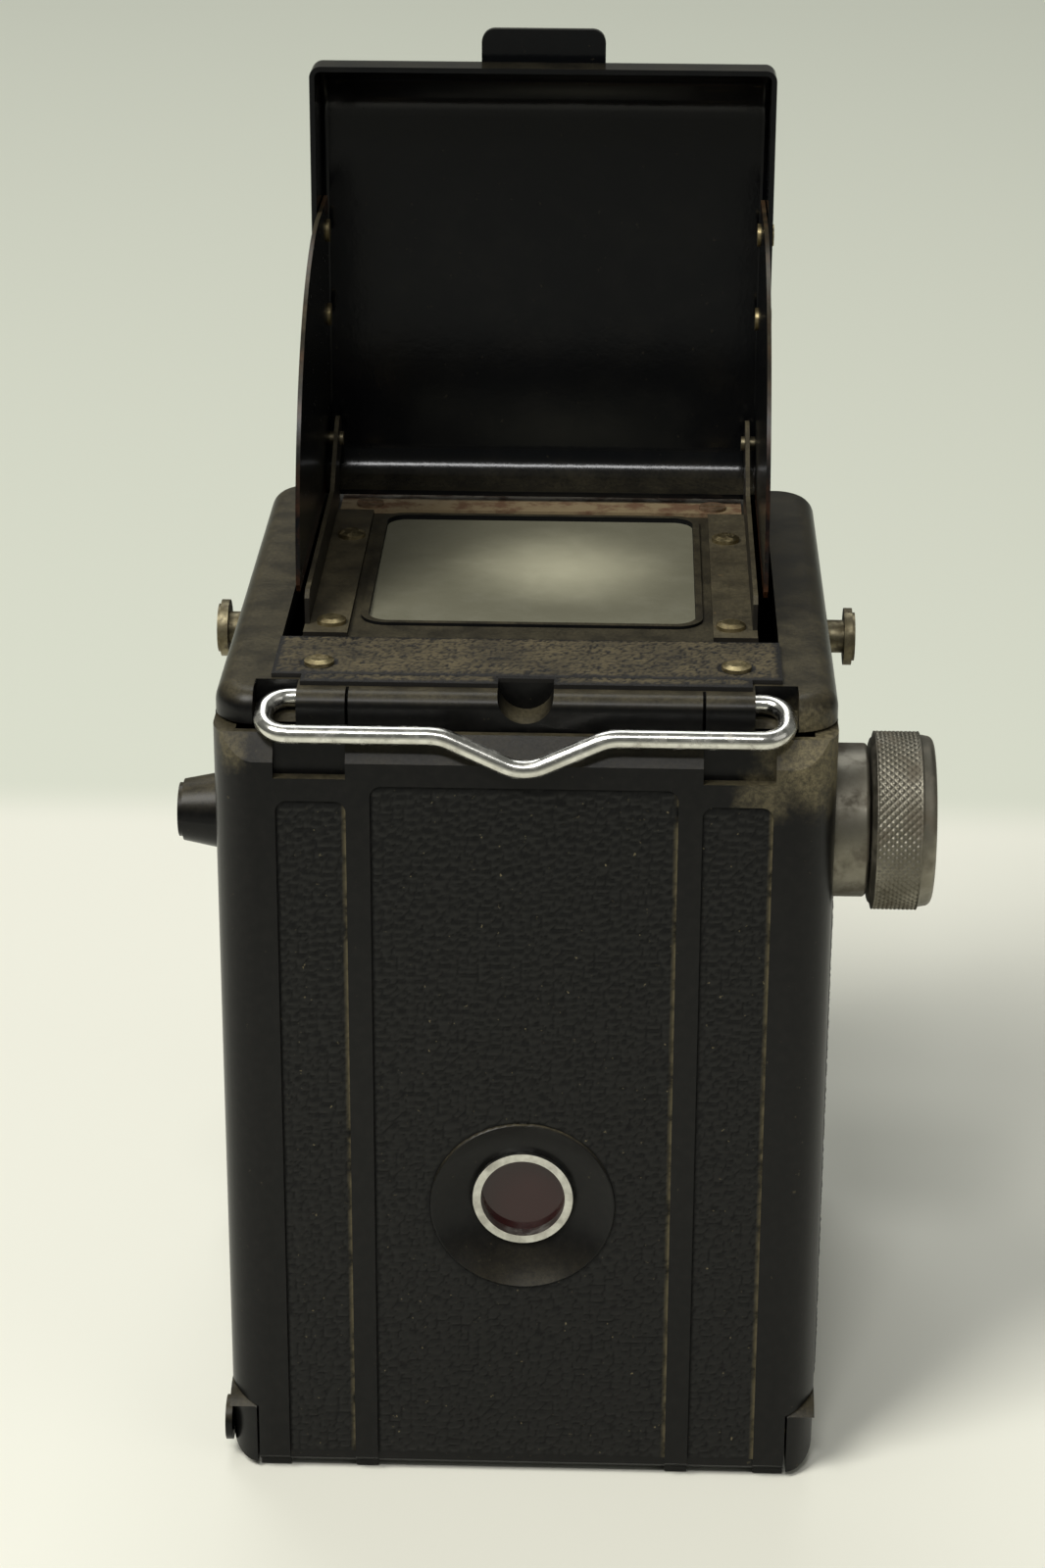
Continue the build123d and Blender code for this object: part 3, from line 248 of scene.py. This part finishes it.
def metal(name, light, dark, roughness=(0.25, 0.45), size=2.0, stretch=(1, 1, 1), dirt=0.15, rust=0.0):
    """A bare metal with cloudy tarnish, dull dirt on top and, where asked, blooms of rust."""
    finish = Finish(name)
    tarnish = finish.ramp(finish.noise(size, 8.0, stretch), 0.3, 0.7)
    base = finish.blend(tarnish, light, dark)
    grime = finish.both(finish.ramp(finish.noise(size * 0.6, 8.0, shift=6.0), 0.48, 0.7), dirt)
    rusty = finish.both(finish.ramp(finish.noise(size * 1.4, 8.0, shift=2.0), 0.62 - 0.3 * rust, 0.72), rust)
    dull = finish.either(grime, rusty)
    finish.colour(finish.blend(rusty, finish.blend(grime, base, DARK_DIRT), RUST))
    finish.metal(finish.calc("SUBTRACT", 1.0, finish.calc("MULTIPLY", dull, 0.9)))
    rough = finish.between(tarnish, *roughness)
    finish.rough(finish.calc("ADD", rough, finish.calc("MULTIPLY", dull, 0.4), clamp=True))
    finish.relief(finish.noise(size * 0.3, 3.0, stretch, shift=1.0), 0.004)
    return finish.material


def black_enamel(name, clean, amount, rust_edge=None, base=tone(6, 7, 9), chips=0.0):
    """Black enamel on sheet metal, dusty on top; rust_edge builds a mask of bare rusty edge."""
    finish = Finish(name, Specular_IOR_Level=0.22)
    paint = finish.blend(finish.ramp(finish.noise(6.0, 8.0, shift=2.0), 0.4, 0.8), base, tone(14, 14, 14))
    chipped = finish.both(finish.ramp(finish.noise(1.3, 8.0, shift=8.0), 0.66, 0.7), chips)
    paint = finish.blend(chipped, paint, tone(105, 84, 58))
    if rust_edge is not None:
        paint = finish.blend(rust_edge(finish), paint, RUST)
    dusted(finish, paint, amount, clean=clean, dull=0.8)
    finish.relief(finish.noise(1.1, 3.0, shift=5.0), 0.012)
    return finish.material


def wing_rust(finish):
    """Rust that creeps in from the curved edge of a hood wing and from its foot."""
    arc_y, arc_z, arc_radius, foot_z = -24.0, 115.4, 39.0, 114.4
    along = finish.calc("SUBTRACT", finish.axis("Y"), arc_y)
    above = finish.calc("SUBTRACT", finish.axis("Z"), arc_z)
    squares = finish.calc("ADD", finish.calc("MULTIPLY", along, along), finish.calc("MULTIPLY", above, above))
    reach = finish.calc("SQRT", squares)
    uneven = finish.between(finish.noise(3.0, 8.0), -2.5, 2.5)
    rim = finish.ramp(finish.calc("ADD", reach, uneven), arc_radius - 0.6, arc_radius + 2.0)
    foot = finish.ramp(finish.calc("ADD", finish.axis("Z"), uneven), foot_z + 3.0, foot_z)
    return finish.both(finish.either(rim, foot), 0.8)


def crinkle_paint(name):
    """Wrinkled enamel: the crests take a dusty brown colour and painted shade darkens the furrows."""
    finish = Finish(name, Specular_IOR_Level=0.35)
    ridge = finish.attribute("grain")
    cloud = finish.ramp(finish.noise(7.0, 6.0), 0.3, 0.7)
    dirty = finish.blend(cloud, tone(88, 79, 58), tone(62, 56, 42))
    crest_vs_shaded_furrow = finish.ramp(ridge, 0.15, 0.7)
    # Painted shade in the furrows; the brown on the crests is dust.
    finish.colour(finish.blend(crest_vs_shaded_furrow, tone(20, 18, 15), dirty))
    finish.rough(finish.between(crest_vs_shaded_furrow, 0.6, 0.85))
    finish.relief(finish.noise(0.25, 5.0), 0.05)
    return finish.material


def stained_paint(name, clean, stain):
    """Dull paint with soft-edged stains."""
    finish = Finish(name)
    mask = finish.ramp(finish.noise(3.5, 8.0), 0.42, 0.62)
    finish.colour(finish.blend(mask, clean, stain))
    finish.rough(finish.between(mask, 0.5, 0.85))
    finish.relief(finish.noise(0.6, 6.0), 0.03)
    return finish.material


def frosted_screen(name, centre):
    """Ground glass: grey, with the bright soft patch that the viewing lens throws at its middle."""
    finish = Finish(name, roughness=0.45, Specular_IOR_Level=0.5)
    glow_radius = 19.0
    uneven = finish.between(finish.noise(12.0, 3.0), -3.0, 3.0)
    off_centre = finish.calc("ADD", finish.distance(centre), uneven)
    glow = finish.ramp(off_centre, glow_radius, 0.0)
    finish.colour(finish.blend(glow, tone(109, 107, 90), tone(180, 177, 152)))
    finish.rough(finish.between(finish.ramp(finish.noise(4.0, 8.0), 0.4, 0.7), 0.4, 0.6))
    return finish.material


def coloured_glass(name, tint, roughness, transmission, bloom=tone(150, 140, 125)):
    """Glass with a cloudy bloom on its surface."""
    finish = Finish(name, IOR=1.5, Transmission_Weight=transmission, Specular_IOR_Level=0.5)
    haze = finish.ramp(finish.noise(3.0, 8.0), 0.45, 0.75)
    finish.colour(finish.blend(finish.both(haze, 0.3), tint, bloom))
    finish.rough(finish.between(haze, roughness, roughness + 0.12))
    return finish.material


def make_finishes():
    """One material for each of the record's material slots."""
    door_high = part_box("back_door")[1]
    corner_x, corner_y, corner_z = door_high.x / MM, door_high.y / MM, door_high.z / MM
    dirty_corner = ((-corner_x + 3.0, corner_y - 3.0, corner_z - 2.5), 3.0, 9.0, 0.75)
    dirty_edge = ((-corner_x + 9.0, corner_y, corner_z - 6.5), 1.0, 5.0, 0.45)
    worn_corner = ((corner_x - 2.0, corner_y - 1.0, corner_z - 1.5), 0.5, 4.0, 0.5)
    bakelite = moulded_black("bakelite", 0.36, patches=(dirty_corner, dirty_edge, worn_corner))
    screen_low, screen_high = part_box("finder_glass")
    glow_offset = Vector((4.0, 2.0, 0.0))
    glow_centre = (screen_low + screen_high) / (2 * MM) - glow_offset
    pale, grey = tone(205, 203, 194), tone(150, 149, 142)
    return {
        "bakelite": bakelite,
        "knob_plastic": moulded_black("knob_plastic", 0.35, clean=0.3),
        "spring_steel": metal("spring_steel", tone(170, 170, 165), tone(120, 119, 114)),
        "plain_steel": metal("plain_steel", tone(136, 128, 104), tone(96, 88, 68), (0.4, 0.55), dirt=0.5),
        "bright_ring": metal("bright_ring", tone(212, 211, 204), tone(176, 174, 166), (0.28, 0.42)),
        "ruby_glass": coloured_glass("ruby_glass", tone(44, 8, 10), 0.08, 0.2, tone(58, 24, 24)),
        "black_sheet": black_enamel("black_sheet", 0.45, 0.3),
        "bright_wire": metal("bright_wire", tone(222, 221, 214), tone(188, 186, 178), (0.16, 0.26), 3.0,
                             dirt=0.3, rust=0.15),
        "inner_paint": black_enamel("inner_paint", 0.7, 0.15),
        "spool_paint": black_enamel("spool_paint", 0.35, 0.15),
        "knurled_alloy": metal("knurled_alloy", tone(134, 130, 118), tone(112, 108, 96), (0.42, 0.55), 5.0,
                               dirt=0.5),
        "finder_silvering": metal("finder_silvering", tone(225, 226, 224), tone(205, 206, 204),
                                  (0.02, 0.06), 9.0),
        "screen_glass": frosted_screen("screen_glass", glow_centre),
        "crinkle_paint": crinkle_paint("crinkle_paint"),
        "cream_card": stained_paint("cream_card", tone(128, 112, 84), tone(92, 66, 44)),
        "rusty_steel": metal("rusty_steel", tone(150, 130, 105), tone(110, 88, 66), (0.5, 0.7), 1.0,
                             rust=0.8),
        "dull_brass": metal("dull_brass", tone(168, 154, 116), tone(128, 115, 82), (0.35, 0.5), 1.5,
                            dirt=0.5),
        "bracket_paint": black_enamel("bracket_paint", 0.4, 0.45, base=tone(38, 35, 30), chips=0.5),
        "hood_enamel": black_enamel("hood_enamel", 0.14, 0.12),
        "plain_brass": metal("plain_brass", tone(190, 168, 110), tone(150, 128, 78), dirt=0.3),
        "face_plate": black_enamel("face_plate", 0.3, 0.3),
        "shutter_paint": black_enamel("shutter_paint", 0.35, 0.3),
        "lens_alloy": metal("lens_alloy", pale, grey, (0.25, 0.4), 3.0, (1, 6, 1)),
        "dial_alloy": metal("dial_alloy", pale, grey, (0.3, 0.45), 2.0, (1, 8, 1)),
        "bright_lever": metal("bright_lever", tone(225, 223, 217), tone(180, 178, 170), (0.15, 0.3)),
        "blade_steel": metal("blade_steel", tone(82, 84, 90), tone(52, 53, 58), (0.3, 0.45), 3.0),
        "lens_glass": coloured_glass("lens_glass", tone(226, 232, 236), 0.02, 0.95),
    }


FINISHES = make_finishes()
SLOTS = {part["node"]: part["material_slot"] for part in frame["record"]["subparts"]}


def paint(piece, material):
    piece.data.materials.clear()
    piece.data.materials.append(material)


for node_name, node in nodes.items():
    paint(node, FINISHES[SLOTS[node_name]])
RUSTY_WING = black_enamel("rusty_wing", 0.25, 0.3, wing_rust)
for wing_name in ("hood_wing_left", "hood_wing_right"):
    paint(nodes[wing_name], RUSTY_WING)


# ---- pieces made in Blender ----

def add_mesh(name, points, faces, body, slot, material=None):
    """A new mesh piece from points in millimetres, riding on a CAD body."""
    mesh = bpy.data.meshes.new(name)
    mesh.from_pydata((np.asarray(points, float) * MM).tolist(), [], faces)
    mesh.validate()
    mesh.polygons.foreach_set("use_smooth", [True] * len(mesh.polygons))
    piece = bpy.data.objects.new(name, mesh)
    bpy.context.scene.collection.objects.link(piece)
    paint(piece, material or FINISHES[slot])
    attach(piece, body)
    return piece


def point_mask(piece, name, values):
    """Stores one number per point, for a material to read."""
    layer = piece.data.attributes.new(name, "FLOAT", "POINT")
    layer.data.foreach_set("value", np.asarray(values, np.float32))


def cells(u, v, cell_u, cell_v, seed):
    """Distances to the nearest and second nearest of scattered points, one in each cell, for each (u, v)."""
    random = np.random.default_rng(seed)
    u = (u - u.min()) / cell_u
    v = (v - v.min()) / cell_v
    shape = (int(u.max()) + 4, int(v.max()) + 4)
    scatter_u = random.uniform(0.1, 0.9, shape)
    scatter_v = random.uniform(0.1, 0.9, shape)
    column = np.floor(u).astype(int) + 1
    row = np.floor(v).astype(int) + 1
    nearest = np.full(u.shape, 9.0)
    second = np.full(u.shape, 9.0)
    for step_u in (-1, 0, 1):
        for step_v in (-1, 0, 1):
            near_u = column + step_u
            near_v = row + step_v
            gap_u = near_u - 1 + scatter_u[near_u, near_v] - u
            gap_v = near_v - 1 + scatter_v[near_u, near_v] - v
            gap = np.hypot(gap_u, gap_v)
            second = np.minimum(second, np.maximum(nearest, gap))
            nearest = np.minimum(nearest, gap)
    return nearest, second


def pebble_grain(u, v, seed, cell_u=1.35, cell_v=1.05):
    """Leather grain: rounded pebbles, 1 high, parted by narrow valleys at 0."""
    sway = 0.35 * np.sin(u * 0.9 + 1.3 * np.sin(v * 0.7))
    nearest, second = cells(u + sway, v + 0.6 * sway, cell_u, cell_v, seed)
    ridge = np.clip((second - nearest) / 0.6, 0, 1)
    return ridge * (2 - ridge) * (1 - 0.25 * nearest)


def wrinkles(u, v, seed):
    """Crinkle enamel: short crooked ridges, 0 to 1."""
    bend = 0.5 * np.sin(1.9 * u + 2.0 * np.sin(1.3 * v)) + 0.4 * np.sin(2.3 * v + 1.7)
    near_fine, second_fine = cells(u + bend, v + 0.5 * bend, 0.75, 0.5, seed)
    near_wide, second_wide = cells(u - bend, v, 1.3, 0.9, seed + 1)
    fine = np.clip((second_fine - near_fine) / 0.5, 0, 1)
    wide = np.clip((second_wide - near_wide) / 0.6, 0, 1)
    return 0.6 * fine + 0.4 * wide


def skin(name, body, slot, width, length, place, grain, depth, lift, material=None, step=0.32, hole=None):
    """A textured sheet over a flat panel. place maps (u, v, height) to a point; hole is (u, v, radius)."""
    border_line = 0.5
    faded_edge = 0.8
    count_u = round((width[1] - width[0]) / step) + 1
    count_v = round((length[1] - length[0]) / step) + 1
    u, v = np.meshgrid(np.linspace(*width, count_u), np.linspace(*length, count_v), indexing="ij")
    edge = np.minimum(np.minimum(u - width[0], width[1] - u), np.minimum(v - length[0], length[1] - v))
    missing = np.zeros(u.shape, bool)
    if hole is not None:
        reach = np.hypot(u - hole[0], v - hole[1])
        on_rim = np.abs(reach - hole[2]) < step * 0.55
        u = np.where(on_rim, hole[0] + (u - hole[0]) * hole[2] / np.maximum(reach, step), u)
        v = np.where(on_rim, hole[1] + (v - hole[1]) * hole[2] / np.maximum(reach, step), v)
        missing = (reach < hole[2]) & ~on_rim
        edge = np.minimum(edge, np.abs(reach - hole[2]))
    far_side = width[1] - u
    relief = grain(u, v)
    fade = np.clip(edge / faded_edge, 0, 1)
    height = lift + depth * relief * fade
    points = place(u, v, height).reshape(-1, 3)
    faces = []
    for i in range(count_u - 1):
        for j in range(count_v - 1):
            if missing[i, j] or missing[i + 1, j] or missing[i, j + 1] or missing[i + 1, j + 1]:
                continue
            corner = i * count_v + j
            faces.append((corner, corner + count_v, corner + count_v + 1, corner + 1))
    piece = add_mesh(name, points, faces, body, slot, material)
    point_mask(piece, "grain", (relief * fade).ravel())
    # Edge mask at the far end of u: a pale line that is partly dust and partly a painted highlight.
    point_mask(piece, "dust_and_highlight_border", np.clip(1 - far_side / border_line, 0, 1).ravel())
    drop_loose(piece)
    return piece


def drop_loose(piece):
    """Removes points that no face uses, and turns all faces the same way."""
    work = bmesh.new()
    work.from_mesh(piece.data)
    loose = [point for point in work.verts if not point.link_faces]
    bmesh.ops.delete(work, geom=loose, context="VERTS")
    bmesh.ops.recalc_face_normals(work, faces=work.faces)
    work.to_mesh(piece.data)
    work.free()


GRAINED = grained_black("grained_bakelite")
PANEL_DEPTH = 0.4
GRAIN_DEPTH = 0.26
GRAIN_LIFT = 0.05


def door_panels():
    """Grain on the back door's three sunk panels."""
    door_low, door_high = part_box("back_door")
    floor_y = door_high.y / MM - PANEL_DEPTH
    ring_low, ring_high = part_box("window_ring")
    window_z = (ring_low.z + ring_high.z) / (2 * MM)
    foot = door_low.z / MM + 2.6
    centre_edge, centre_top = 19.2, 99.7
    side_start, side_end, side_top = 22.2, 31.0, 97.6
    funnel = (0.0, window_z, 11.95)

    def place(u, v, height):
        return np.stack([-u, floor_y + height, v], -1)

    panels = (
        ("door_grain_centre", (-centre_edge, centre_edge), centre_top, funnel),
        ("door_grain_left", (-side_end, -side_start), side_top, None),
        ("door_grain_right", (side_start, side_end), side_top, None),
    )
    for seed, (name, width, top, hole) in enumerate(panels):
        def grain(u, v, seed=seed):
            return pebble_grain(u, v, seed)
        skin(name, "door", "bakelite", width, (foot, top), place, grain, GRAIN_DEPTH, GRAIN_LIFT,
             GRAINED, hole=hole)


def side_panels():
    """Grain on the sunk panel of each side wall."""
    front_y, rear_y = -38.0, 31.0
    panel_z = (8.0, 98.0)
    floor_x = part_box("body_shell")[1].x / MM - PANEL_DEPTH
    for side, name in ((1, "side_grain_left"), (-1, "side_grain_right")):

        def place(u, v, height, side=side):
            return np.stack([side * (floor_x + height), side * u, v], -1)

        width = (front_y, rear_y) if side > 0 else (-rear_y, -front_y)

        def grain(u, v, side=side):
            return pebble_grain(u, v, 20 + side)
        skin(name, "body", "bakelite", width, panel_z, place, grain, GRAIN_DEPTH, GRAIN_LIFT, GRAINED,
             step=0.5)


def crinkle_strip():
    """The wrinkled enamel on the trim strip behind the finder."""
    low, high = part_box("rear_strip")
    top = high.z / MM
    rivet_x, rivet_y, rivet_radius = 26.3, 32.0, 2.4
    strip_edge, strip_rear = 31.9, 35.7
    notch_edge, tab_edge = 3.6, 28.1
    margin = 0.1
    depth, lift, step = 0.3, 0.02, 0.28

    def place(u, v, height):
        return np.stack([u, v, top + height], -1)

    def grain(u, v):
        near_rivet = np.hypot(np.abs(u) - rivet_x, v - rivet_y) < rivet_radius
        return np.where(near_rivet, 0.0, wrinkles(u, v, 40))
    sheets = (
        ("crinkle_strip_wide", (-strip_edge, strip_edge), (low.y / MM + margin, strip_rear)),
        ("crinkle_strip_tab_right", (-tab_edge, -notch_edge), (strip_rear, high.y / MM - margin)),
        ("crinkle_strip_tab_left", (notch_edge, tab_edge), (strip_rear, high.y / MM - margin)),
    )
    for name, width, length in sheets:
        skin(name, "body", "crinkle_paint", width, length, place, grain, depth, lift, step=step)


def turned(name, profile, axis_point, body, slot, turns, radius_at):
    """A turned piece about an X axis; profile lists (x, radius), and radius_at varies the radius round it."""
    points = []
    for x, radius in profile:
        for turn in range(turns):
            angle = 2 * math.pi * turn / turns
            reach = radius_at(x, angle, radius)
            y = axis_point[0] + reach * math.cos(angle)
            z = axis_point[1] + reach * math.sin(angle)
            points.append((x, y, z))
    faces = []
    for ring in range(len(profile) - 1):
        for turn in range(turns):
            after = (turn + 1) % turns
            faces.append((ring * turns + turn, (ring + 1) * turns + turn,
                          (ring + 1) * turns + after, ring * turns + after))
    faces.append(tuple(range(turns)))
    last = (len(profile) - 1) * turns
    faces.append(tuple(last + turn for turn in reversed(range(turns))))
    piece = add_mesh(name, points, faces, body, slot)
    drop_loose(piece)
    return piece


def knurled_knob():
    """The film wind knob: a diamond-knurled band between turned edges, with a dished face."""
    low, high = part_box("wind_knob")
    inner, outer = high.x / MM, low.x / MM
    axis = ((low.y + high.y) / (2 * MM), (low.z + high.z) / (2 * MM))
    rim = (high.z - low.z) / (2 * MM)
    knurl_depth = 0.32
    knurl_pitch = 1.05
    around = round(2 * math.pi * rim / knurl_pitch)
    band_start, band_end = inner - 0.55, outer + 1.85

    def knurl(x, angle, radius):
        if not band_end <= x <= band_start or radius < rim - 0.3:
            return radius
        phase = angle * around
        along = 2 * math.pi * (x - band_end) / knurl_pitch
        first = abs(math.sin((phase + along) / 2))
        second = abs(math.sin((phase - along) / 2))
        fade = min(1.0, (band_start - x) / 0.25, (x - band_end) / 0.25)
        return radius - knurl_depth * (1 - min(first, second)) * max(fade, 0.0)

    band_samples = 44
    profile = [(inner, 3.2), (inner, rim - 1.3), (inner - 0.12, rim - 0.95), (inner - 0.5, rim - 0.62)]
    for step in range(band_samples + 1):
        profile.append((band_start + (band_end - band_start) * step / band_samples, rim))
    profile += [(band_end - 0.04, rim - 0.35), (band_end - 0.25, rim - 0.42), (outer + 1.1, rim - 0.5)]
    round_steps = 6
    round_radius = 0.9
    for step in range(round_steps + 1):
        turn = math.pi / 2 * step / round_steps
        profile.append((outer + round_radius - round_radius * math.sin(turn),
                        rim - 0.55 - round_radius * (1 - math.cos(turn))))
    dish = rim - 2.9
    profile += [(outer + 0.02, dish + 0.3), (outer + 0.1, dish), (outer + 0.9, dish - 0.35),
                (outer + 1.0, dish - 0.6), (outer + 1.0, 3.0), (outer + 0.95, 2.8), (outer + 0.5, 2.6),
                (outer + 0.4, 2.3), (outer + 0.4, 0.3)]
    knob = turned("wind_knob_knurled", profile, axis, "winding", "knurled_alloy", around * 6, knurl)
    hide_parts("wind_knob")


door_panels()
side_panels()
crinkle_strip()
knurled_knob()


# ---- the surroundings: floor, light and camera ----

def add_floor():
    """Pale paper, greener towards the wall at -Y, and darkened far out on the +Y side with painted shade that
    stands in for the unlit room behind the camera.
    """
    size = 6.0
    corners = [(-size, -size, 0), (size, -size, 0), (size, size, 0), (-size, size, 0)]
    mesh = bpy.data.meshes.new("floor")
    mesh.from_pydata(corners, [], [(0, 1, 2, 3)])
    floor = bpy.data.objects.new("floor", mesh)
    bpy.context.scene.collection.objects.link(floor)
    floor.location.z = cad_low.z
    finish = Finish("floor_paper", roughness=0.8)
    wall_distance = 0.125
    back_edge = 1000 * (cad_low.y - wall_distance)
    wall_side = finish.ramp(finish.axis("Y"), back_edge + 14.0, back_edge - 10.0)
    cloud = finish.between(finish.noise(300.0, 2.0), -0.03, 0.03)
    mask = finish.calc("ADD", wall_side, cloud, clamp=True)
    paper = finish.blend(mask, tone(233, 232, 219), tone(214, 217, 202))
    # Painted shade: the floor far out on the +Y side is darkened to stand in for the unlit room, so that the
    # glossy parts reflect darkness there.
    near_edge = 1000 * cad_high.y
    painted_shade_near_side = finish.ramp(finish.axis("Y"), near_edge + 130.0, near_edge + 330.0)
    finish.colour(finish.blend(painted_shade_near_side, paper, tone(150, 150, 142)))
    paint(floor, finish.material)


def add_area_light(name, place, target, size, power, colour=(1, 1, 1)):
    """A rectangular lamp at place, in metres, that shines at target."""
    light = bpy.data.lights.new(name, "AREA")
    light.shape = "RECTANGLE"
    light.size, light.size_y = size
    light.energy = power
    light.color = colour
    lamp = bpy.data.objects.new(name, light)
    bpy.context.scene.collection.objects.link(lamp)
    lamp.location = place
    lamp.rotation_mode = "QUATERNION"
    lamp.rotation_quaternion = (Vector(target) - Vector(place)).to_track_quat("-Z", "Y")


def add_lights():
    """A window high on the +X side, soft fill from -X and from above, and a lamp for the hood's bend."""
    middle = (cad_low + cad_high) / 2
    add_area_light("window_light", (1.0, 0.9, 1.9), middle, (0.8, 1.0), 41.0, (1.0, 0.99, 0.95))
    add_area_light("room_fill", (-1.4, 0.9, 1.0), middle, (1.2, 1.2), 3.0, (1.0, 0.99, 0.97))
    add_area_light("top_fill", (0.2, -1.2, 2.0), middle, (1.2, 1.2), 14.0, (0.97, 0.99, 1.0))
    add_area_light("bend_light", (0.05, 0.75, 0.95), (0.0, cad_low.y, cad_high.z), (0.25, 0.12), 3.0)
    world = bpy.data.worlds.new("studio")
    world.use_nodes = True
    background = world.node_tree.nodes["Background"]
    background.inputs["Color"].default_value = tone(205, 207, 200)
    background.inputs["Strength"].default_value = 0.22
    bpy.context.scene.world = world


def add_camera():
    """A long lens behind and above the camera body, looking down at it."""
    data = bpy.data.cameras.new("view")
    data.lens = 84.15  # millimetres, for the 36 mm sensor
    data.sensor_width = 36.0
    data.clip_start, data.clip_end = 0.01, 20.0
    camera = bpy.data.objects.new("view", data)
    bpy.context.scene.collection.objects.link(camera)
    pitch = math.radians(22.5)
    heading = 0.03
    tilt = math.radians(0.23)
    forward = Vector((heading * math.cos(pitch), -math.cos(pitch), -math.sin(pitch))).normalized()
    camera.location = (-0.0124, 0.4642, 0.274)
    turn = forward.to_track_quat("-Z", "Y").to_matrix().to_4x4()
    roll = Matrix.Rotation(tilt, 4, "Z")
    camera.matrix_world = Matrix.Translation(camera.location) @ turn @ roll
    bpy.context.scene.camera = camera


add_floor()
add_lights()
add_camera()
bpy.context.scene.view_settings.view_transform = "Standard"
